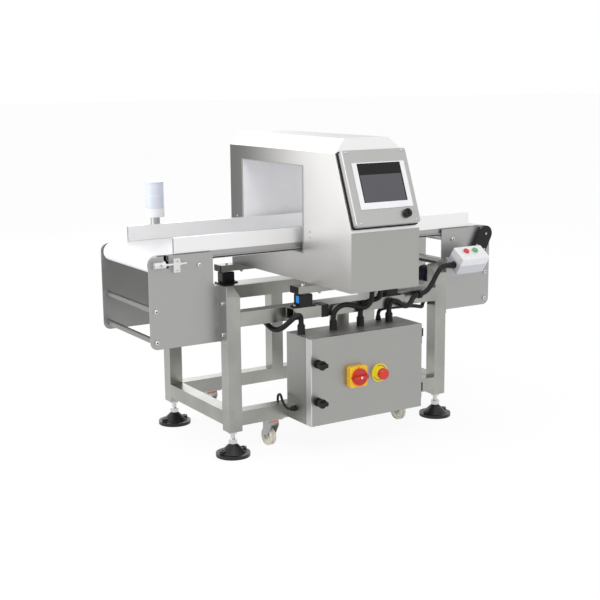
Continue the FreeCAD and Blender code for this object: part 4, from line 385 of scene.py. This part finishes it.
lamp_white.zone(lamp_white.inside(z=(0.8228, 0.8246)), (0.34, 0.37, 0.45), 0.4)
lamp_white.zone(lamp_white.inside(z=(0.79, 0.8228)), (0.70, 0.71, 0.74), 0.35)
print("finishes with zones:", len(bpy.data.materials))

# %% [markdown]
# ## Which finish goes on which node
# Most nodes are one material. Here each is given its finish, by the CAD name.

# %% Dress the nodes
FINISHES = {
    "frame_legs": leg_steel, "frame_rails": tube_steel, "side_plates": plate_steel, "slider_bed": plate_steel,
    "guide_rails": rail_metal, "conveyor_belt": white_belt, "tail_roller": chrome, "drive_roller": chrome,
    "infeed_snub_roller": chrome, "outfeed_snub_roller": chrome,
    "motor_pulley": zinc, "timing_belt": black_rubber,
    "drive_cover": black_plastic, "gearmotor": motor_paint, "belt_tensioners": block_metal,
    "vibration_dampers": damper_black, "support_arms": arm_steel, "arm_end_plugs": black_plastic,
    "head_housing": head_steel, "tunnel_liner": lining, "search_coils": copper, "panel_cover": panel_steel,
    "display_bezel": white_gloss, "display_screen": display_glass, "key_switch": black_plastic,
    "gaskets": black_rubber, "box_shell": box_steel, "box_door": box_steel, "box_equipment": device_grey,
    "door_fittings": front_yellow, "upper_door_lock": black_plastic, "lower_door_lock": black_plastic,
    "main_switch_handle": handle_red, "emergency_stop_head": red_plastic, "station_base": grey_plastic,
    "station_lid": white_gloss, "stop_button": red_plastic, "start_button": green_plastic,
    "signal_lamp": lamp_white, "mounting_brackets": bracket_zinc, "rods_and_bolts": rod_steel,
    "cable_fittings": black_plastic,
}
for name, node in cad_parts.items():
    finish = FINISHES.get(name)
    if finish is None:
        finish = (cream_wheel if name.endswith("_wheel")
                  else fork_zinc if name.endswith("_fork") else foot_black)
    node.data.materials.clear()
    node.data.materials.append(finish.material)

# %% [markdown]
# ## Conduits
# Power and signal leads run in corrugated conduit. Each is a smooth curve through the
# route of its CAD tube. Geometry Nodes give the curve its ribs: the curve is cut into
# short steps, its radius goes up and down from step to step, and a circle is swept along.

# %% Conduit routes
ROUTES = {
    "hose_lamp": [(-215, -318, 453.4), (-215, -318, 471), (-225, -326, 487), (-244, -325, 482),
                  (-257, -306, 461), (-268, -281, 438), (-276, -253, 426), (-280, -223, 429),
                  (-284, -196, 444), (-301, -178, 461), (-330, -173, 467), (-361, -172, 470),
                  (-390, -172, 470)],
    "hose_head_power": [(-83, -318, 453.4), (-83, -318, 473), (-73, -327, 495), (-46, -334, 506),
                        (-14, -338, 500), (14, -342, 488), (38, -345, 488), (56, -347, 503),
                        (62, -347, 523), (62, -347, 543)],
    "hose_head_signal": [(32, -318, 453.4), (32, -318, 474), (43, -318, 493), (65, -319, 502),
                         (86, -327, 507), (97, -340, 514), (98, -347, 527), (98, -347, 543)],
    "hose_motor": [(143, -272, 434), (143, -272, 446), (153, -272, 456), (175, -272, 457.5),
                   (215, -272.5, 457), (262, -273, 455), (302, -273, 452), (335, -267, 444),
                   (364, -246, 437), (390, -212, 436), (425, -176, 440), (475, -136, 438),
                   (520, -97, 431), (555, -60, 429), (578, -50.2, 431.8), (600, -50.2, 431.8)],
    "hose_station": [(157, -318, 453.4), (157, -318, 476), (167, -324, 494), (191, -326, 490),
                     (210, -324, 472), (236, -322, 465), (264, -307, 473), (291, -285, 489),
                     (325, -279, 493), (359, -278, 500), (387, -275, 526), (408, -273, 558),
                     (434, -272, 587), (461, -272, 587)],
    "earth_lead": [(-256.55, -312, 156), (-264, -312, 156), (-270, -304, 161), (-270, -289, 168),
                   (-265, -268, 179), (-255, -244, 187), (-246, -220, 187), (-243, -202, 177),
                   (-243, -200.5, 158), (-243, -200.5, 140)],
}
RADII = {"hose_motor": 7.0, "earth_lead": 4.5}


# %% A small helper for Geometry Nodes
class Grower:
    """A Geometry Nodes tree that is written one node at a time."""

    def __init__(self, name, **inputs):
        self.tree = bpy.data.node_groups.new(name, "GeometryNodeTree")
        face = self.tree.interface
        face.new_socket("Geometry", in_out="INPUT", socket_type="NodeSocketGeometry")
        face.new_socket("Geometry", in_out="OUTPUT", socket_type="NodeSocketGeometry")
        kinds = {float: "NodeSocketFloat", int: "NodeSocketInt", bpy.types.Material: "NodeSocketMaterial"}
        for word, kind in inputs.items():
            face.new_socket(word, in_out="INPUT", socket_type=kinds[kind])
        self.start = self.tree.nodes.new("NodeGroupInput")
        self.end = self.tree.nodes.new("NodeGroupOutput")

    def given(self, word):
        return self.start.outputs[word]

    def node(self, kind, settings, *values, out=0, **named):
        made = self.tree.nodes.new(kind)
        for word, setting in settings.items():
            setattr(made, word, setting)
        filled = list(zip([s for s in made.inputs if s.enabled], values))
        filled += [(made.inputs[word.replace("_", " ")], value) for word, value in named.items()]
        for socket, value in filled:
            if isinstance(value, bpy.types.NodeSocket):
                self.tree.links.new(value, socket)
            elif value is not None:
                socket.default_value = value
        return made.outputs[out]

    def close(self, geometry):
        whole = self.node("GeometryNodeRealizeInstances", {}, geometry)
        smooth = self.node("GeometryNodeSetShadeSmooth", {}, Geometry=whole, Shade_Smooth=False)
        painted = self.node("GeometryNodeSetMaterial", {}, Geometry=smooth, Material=self.given("Material"))
        self.tree.links.new(painted, self.end.inputs[0])
        return self

    def grow(self, name, source, **values):
        """Runs the tree on source and returns the result as a plain mesh object."""
        modifier = source.modifiers.new("grow", "NODES")
        modifier.node_group = self.tree
        for item in self.tree.interface.items_tree:
            if item.in_out == "INPUT" and item.name in values:
                modifier[item.identifier] = values[item.name]
        bpy.context.view_layer.update()
        graph = bpy.context.evaluated_depsgraph_get()
        mesh = bpy.data.meshes.new_from_object(source.evaluated_get(graph))
        bpy.data.objects.remove(source)
        piece = bpy.data.objects.new(name, mesh)
        scene.collection.objects.link(piece)
        return piece


# %% The conduit tree
corrugator = Grower("corrugated_conduit", **{"Material": bpy.types.Material,
                                             "Radius": float, "Rib Pitch": float,
                                             "Rib Depth": float})
step = corrugator.node("ShaderNodeMath", {"operation": "DIVIDE"}, corrugator.given("Rib Pitch"), 4.0)
cut_up = corrugator.node("GeometryNodeResampleCurve", {"mode": "LENGTH"},
                         corrugator.given("Geometry"), Length=step)
count = corrugator.node("GeometryNodeInputIndex", {})
phase = corrugator.node("ShaderNodeMath", {"operation": "MULTIPLY"}, count, math.pi / 2)
swell = corrugator.node("ShaderNodeMath", {"operation": "SINE"}, phase)
half_swell = corrugator.node("ShaderNodeMath", {"operation": "MULTIPLY_ADD"}, swell, 0.5, -0.5)
wave = corrugator.node("ShaderNodeMath", {"operation": "MULTIPLY_ADD"},
                       half_swell, corrugator.given("Rib Depth"),
                       corrugator.given("Radius"))
ring = corrugator.node("GeometryNodeCurvePrimitiveCircle", {}, Resolution=20, Radius=1.0)
swept = corrugator.node("GeometryNodeCurveToMesh", {}, cut_up, ring, wave, True)
corrugator.close(swept)


def nurbs(name, points):
    """A smooth open curve with the route's points, in millimetres, as its control points."""
    data = bpy.data.curves.new(name, "CURVE")
    data.dimensions = "3D"
    data.resolution_u = 12
    spline = data.splines.new("NURBS")
    spline.points.add(len(points) - 1)
    for spot, point in zip(spline.points, points):
        spot.co = (point[0] / 1000, point[1] / 1000, point[2] / 1000, 1)
    spline.order_u = 3
    spline.use_endpoint_u = True
    curve = bpy.data.objects.new(name, data)
    scene.collection.objects.link(curve)
    return curve


def spots_on(curve):
    """The points along a bare curve, in order."""
    graph = bpy.context.evaluated_depsgraph_get()
    line = bpy.data.meshes.new_from_object(curve.evaluated_get(graph))
    found = [v.co.copy() for v in line.vertices]
    bpy.data.meshes.remove(line)
    return found


# %% Lay the conduits
for name, points in ROUTES.items():
    radius = RADII.get(name, 9.5) / 1000
    curve = nurbs(name + "_line", points)
    bpy.context.view_layer.update()
    path = spots_on(curve)
    piece = corrugator.grow(name + "_conduit", curve, Radius=radius, Material=conduit_black.material,
                            **{"Rib Pitch": radius * 0.36, "Rib Depth": radius * 0.09})
    piece.data.polygons.foreach_set("use_smooth", [True] * len(piece.data.polygons))
    length = sum((b - a).length for a, b in zip(path, path[1:]))
    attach(piece, "conveyor")
    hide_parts(name)
    2 * radius
    print(name, "line", round(length * 1000), "mm,", len(piece.data.polygons), "faces")

# %% [markdown]
# ## Rings and screws
# Small things that repeat are made once and set at each of their places by Geometry Nodes.
# The ribs of a cable gland and the seams of the lamp are rings. A ring is a circle swept
# round a larger one. A screw head is turned from its outline, with a dark six-sided socket.

# %% The ring tree
ringer = Grower("rings", **{"Material": bpy.types.Material, "Ring Radius": float, "Wire Radius": float})
hoop = ringer.node("GeometryNodeCurvePrimitiveCircle", {}, Resolution=32, Radius=ringer.given("Ring Radius"))
wire = ringer.node("GeometryNodeCurvePrimitiveCircle", {}, Resolution=8, Radius=ringer.given("Wire Radius"))
one_ring = ringer.node("GeometryNodeCurveToMesh", {}, Curve=hoop, Profile_Curve=wire)
rings = ringer.node("GeometryNodeInstanceOnPoints", {}, Points=ringer.given("Geometry"), Instance=one_ring)
ringer.close(rings)


def spots(name, places):
    """A bare mesh with one vertex at each place, in metres."""
    mesh = bpy.data.meshes.new(name)
    mesh.from_pydata(places, [], [])
    made = bpy.data.objects.new(name, mesh)
    scene.collection.objects.link(made)
    return made


def rest_on(piece, body):
    """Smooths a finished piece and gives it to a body."""
    piece.data.polygons.foreach_set("use_smooth", [True] * len(piece.data.polygons))
    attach(piece, body)
    print(piece.name, len(piece.data.polygons), "faces")


# %% Ribs of the four glands on the box, and seams of the lamp
box_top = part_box("box_shell")[1][2]
gland_x = (-0.215, -0.083, 0.032, 0.157)
gland_y = -0.318
rib_pitch = 0.0052
gland_ribs = [(x, gland_y, box_top + 0.0035 + k * rib_pitch) for x in gland_x for k in range(6)]
ribs = ringer.grow("gland_ribs", spots("gland_spots", gland_ribs), Material=black_plastic.material,
                   **{"Ring Radius": 0.0118, "Wire Radius": 0.0022})
rest_on(ribs, "conveyor")
lamp_low, lamp_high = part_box("signal_lamp")
lamp_x = (lamp_low[0] + lamp_high[0]) / 2
lamp_y = (lamp_low[1] + lamp_high[1]) / 2
lamp_radius = (lamp_high[0] - lamp_low[0]) / 2
seam_heights = (0.034, 0.078, 0.122)
seams = ringer.grow("lamp_seams",
                    spots("lamp_spots", [(lamp_x, lamp_y, lamp_low[2] + h) for h in seam_heights]),
                    Material=white_gloss.material,
                    **{"Ring Radius": lamp_radius - 0.0018, "Wire Radius": 0.0013})
rest_on(seams, "conveyor")

# %% The screw tree: a domed head with a six-sided socket
turner = Grower("screws", **{"Material": bpy.types.Material, "Socket Material": bpy.types.Material,
                             "Head Radius": float, "Tilt": float, "Turn": float})
head_disc = turner.node("GeometryNodeMeshCylinder", {}, Vertices=24, Radius=1.0, Depth=0.5)
dome = turner.node("GeometryNodeMeshCone", {}, Vertices=24, Radius_Top=0.62, Radius_Bottom=1.0, Depth=0.28)
lifted = turner.node("GeometryNodeTransform", {}, Geometry=dome, Translation=(0, 0, 0.25))
socket_disc = turner.node("GeometryNodeMeshCylinder", {}, Vertices=6, Radius=0.44, Depth=0.1)
socket_up = turner.node("GeometryNodeTransform", {}, Geometry=socket_disc, Translation=(0, 0, 0.50))
socket_dark = turner.node("GeometryNodeSetMaterial", {}, Geometry=socket_up,
                          Material=turner.given("Socket Material"))
body_joined = turner.node("GeometryNodeJoinGeometry", {}, head_disc)
turner.tree.links.new(lifted, body_joined.node.inputs[0])
painted_head = turner.node("GeometryNodeSetMaterial", {}, Geometry=body_joined,
                           Material=turner.given("Material"))
whole_screw = turner.node("GeometryNodeJoinGeometry", {}, painted_head)
turner.tree.links.new(socket_dark, whole_screw.node.inputs[0])
angles = turner.node("ShaderNodeCombineXYZ", {}, turner.given("Tilt"), 0.0, turner.given("Turn"))
set_out = turner.node("GeometryNodeInstanceOnPoints", {}, Points=turner.given("Geometry"),
                      Instance=whole_screw,
                      Rotation=angles, Scale=turner.given("Head Radius"))
made_whole = turner.node("GeometryNodeRealizeInstances", {}, set_out)
turner.tree.links.new(made_whole, turner.end.inputs[0])


def screws(name, places, radius, tilt, body, finish, turn=0.0):
    """Screw heads at the places, tilted back from upright by the angle in degrees."""
    made = turner.grow(name, spots(name + "_spots", places), Material=finish.material,
                       **{"Socket Material": black_rubber.material, "Head Radius": radius,
                          "Tilt": math.radians(tilt), "Turn": math.radians(turn)})
    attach(made, body)
    print(name, len(places), "heads,", len(made.data.polygons), "faces")


# %% [markdown]
# ## Bolt heads
# The plain bolt heads of the model get a domed face with a socket. Each bolt is a loose
# piece of the bolts node, so its place, size and axis are read from the box round it.

# %% Find the bolts
ACROSS, ALONG_Y = 0, 1


def loose_boxes(node):
    """The lowest and highest corners of each separate solid in a CAD node."""
    work = bmesh.new()
    work.from_mesh(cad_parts[node].data)
    bmesh.ops.remove_doubles(work, verts=work.verts, dist=1e-6)
    waiting = set(work.verts)
    found = []
    while waiting:
        front = [waiting.pop()]
        island = []
        while front:
            here = front.pop()
            island.append(here.co.copy())
            for edge in here.link_edges:
                there = edge.other_vert(here)
                if there in waiting:
                    waiting.remove(there)
                    front.append(there)
        low = Vector([min(p[k] for p in island) for k in range(3)])
        high = Vector([max(p[k] for p in island) for k in range(3)])
        found.append((low, high))
    work.free()
    return found


def bolt_faces(node, axis, widest=0.017, round_within=0.0006):
    """Outer face centres and radii of the round solids whose axis lies that way."""
    faces = []
    for low, high in loose_boxes(node):
        size = high - low
        others = [k for k in range(3) if k != axis]
        round_off = abs(size[others[0]] - size[others[1]])
        if round_off > round_within or size[others[0]] > widest:
            continue
        centre = (low + high) / 2
        side = -1 if centre[axis] < 0 else 1
        centre[axis] = low[axis] if side < 0 else high[axis]
        faces.append((centre, size[others[0]] / 2, side))
    return faces


# %% Set a domed head on each bolt
head_sunk = 0.30
for axis, word in ((ALONG_Y, "plate"), (ACROSS, "flange")):
    by_kind = {}
    for centre, radius, side in bolt_faces("rods_and_bolts", axis):
        seat = centre.copy()
        seat[axis] -= side * radius * head_sunk
        by_kind.setdefault((round(radius, 4), side), []).append(tuple(seat))
    for (radius, side), places in sorted(by_kind.items()):
        facing = "near" if side < 0 else "far"
        tilt, turn = (90, 0 if side < 0 else 180) if axis == ALONG_Y else (90, -90 if side < 0 else 90)
        label = "%s_heads_%s_%d" % (word, facing, round(radius * 10000))
        screws(label, places, radius * 0.9, tilt, "conveyor", bolt_steel, turn)

# %% [markdown]
# ## Light and floor
# Soft studio light: a pale world, a key lamp above and in front, a fill from the left and
# a lamp behind. The camera, and all that is seen in metal or glass, meets plain white.

# %% World and lamps
world = bpy.data.worlds.new("studio")
scene.world = world
world.use_nodes = True
sky = world.node_tree
for node in list(sky.nodes):
    sky.nodes.remove(node)
path_kind = sky.nodes.new("ShaderNodeLightPath")
seen = sky.nodes.new("ShaderNodeMath")
seen.operation = "MAXIMUM"
sky.links.new(path_kind.outputs["Is Camera Ray"], seen.inputs[0])
mirrored = sky.nodes.new("ShaderNodeMath")
mirrored.operation = "MAXIMUM"
sky.links.new(path_kind.outputs["Is Glossy Ray"], mirrored.inputs[0])
sky.links.new(path_kind.outputs["Is Transmission Ray"], mirrored.inputs[1])
sky.links.new(mirrored.outputs[0], seen.inputs[1])
lit = sky.nodes.new("ShaderNodeBackground")
lit.inputs["Color"].default_value = (1, 1, 1, 1)
lit.inputs["Strength"].default_value = 0.85
shown = sky.nodes.new("ShaderNodeBackground")
shown.inputs["Color"].default_value = (1, 1, 1, 1)
shown.inputs["Strength"].default_value = 1.0
either = sky.nodes.new("ShaderNodeMixShader")
sky.links.new(seen.outputs[0], either.inputs[0])
sky.links.new(lit.outputs[0], either.inputs[1])
sky.links.new(shown.outputs[0], either.inputs[2])
ending = sky.nodes.new("ShaderNodeOutputWorld")
sky.links.new(either.outputs[0], ending.inputs[0])


def lamp(name, place, target, size, power):
    data = bpy.data.lights.new(name, "AREA")
    data.shape = "SQUARE"
    data.size = size
    data.energy = power
    made = bpy.data.objects.new(name, data)
    scene.collection.objects.link(made)
    aim = (Vector(target) - Vector(place)).to_track_quat("-Z", "Y")
    made.matrix_world = Matrix.Translation(place) @ aim.to_matrix().to_4x4()
    return made


lamp("key_lamp", (-1.5, -3.0, 4.0), (0, 0, 0.5), 2.5, 62)
lamp("fill_lamp", (-3.5, 0.5, 1.6), (0, 0, 0.5), 2.5, 60)
lamp("back_lamp", (0.8, 4.5, 3.2), (0, 0, 0.6), 3.0, 60)

# %% Floor
floor_mesh = bpy.data.meshes.new("floor")
floor_mesh.from_pydata([(-60, -60, 0), (60, -60, 0), (60, 60, 0), (-60, 60, 0)], [], [(0, 1, 2, 3)])
floor = bpy.data.objects.new("floor", floor_mesh)
scene.collection.objects.link(floor)
paper = Finish("floor_paper", (0.93, 0.93, 0.93), 0.9)
ray = paper.node("LightPath", {})
outputs = ray.socket.node.outputs
direct = Signal(paper, outputs["Is Camera Ray"]).math("MAXIMUM", Signal(paper, outputs["Is Camera Ray"]),
                                                      Signal(paper, outputs["Is Glossy Ray"]))
glow = paper.node("Emission", {}, (1, 1, 1, 1), 1.0)
screened = paper.node("MixShader", {}, direct * 0.90, Signal(paper, paper.shader.outputs[0]), glow)
paper.tree.links.new(screened.socket, paper.tree.nodes["Material Output"].inputs["Surface"])
floor_mesh.materials.append(paper.material)

# %% [markdown]
# ## Finish
# The view transform stays plain, so a colour renders as it is written.

# %% Close
scene.view_settings.view_transform = "Standard"
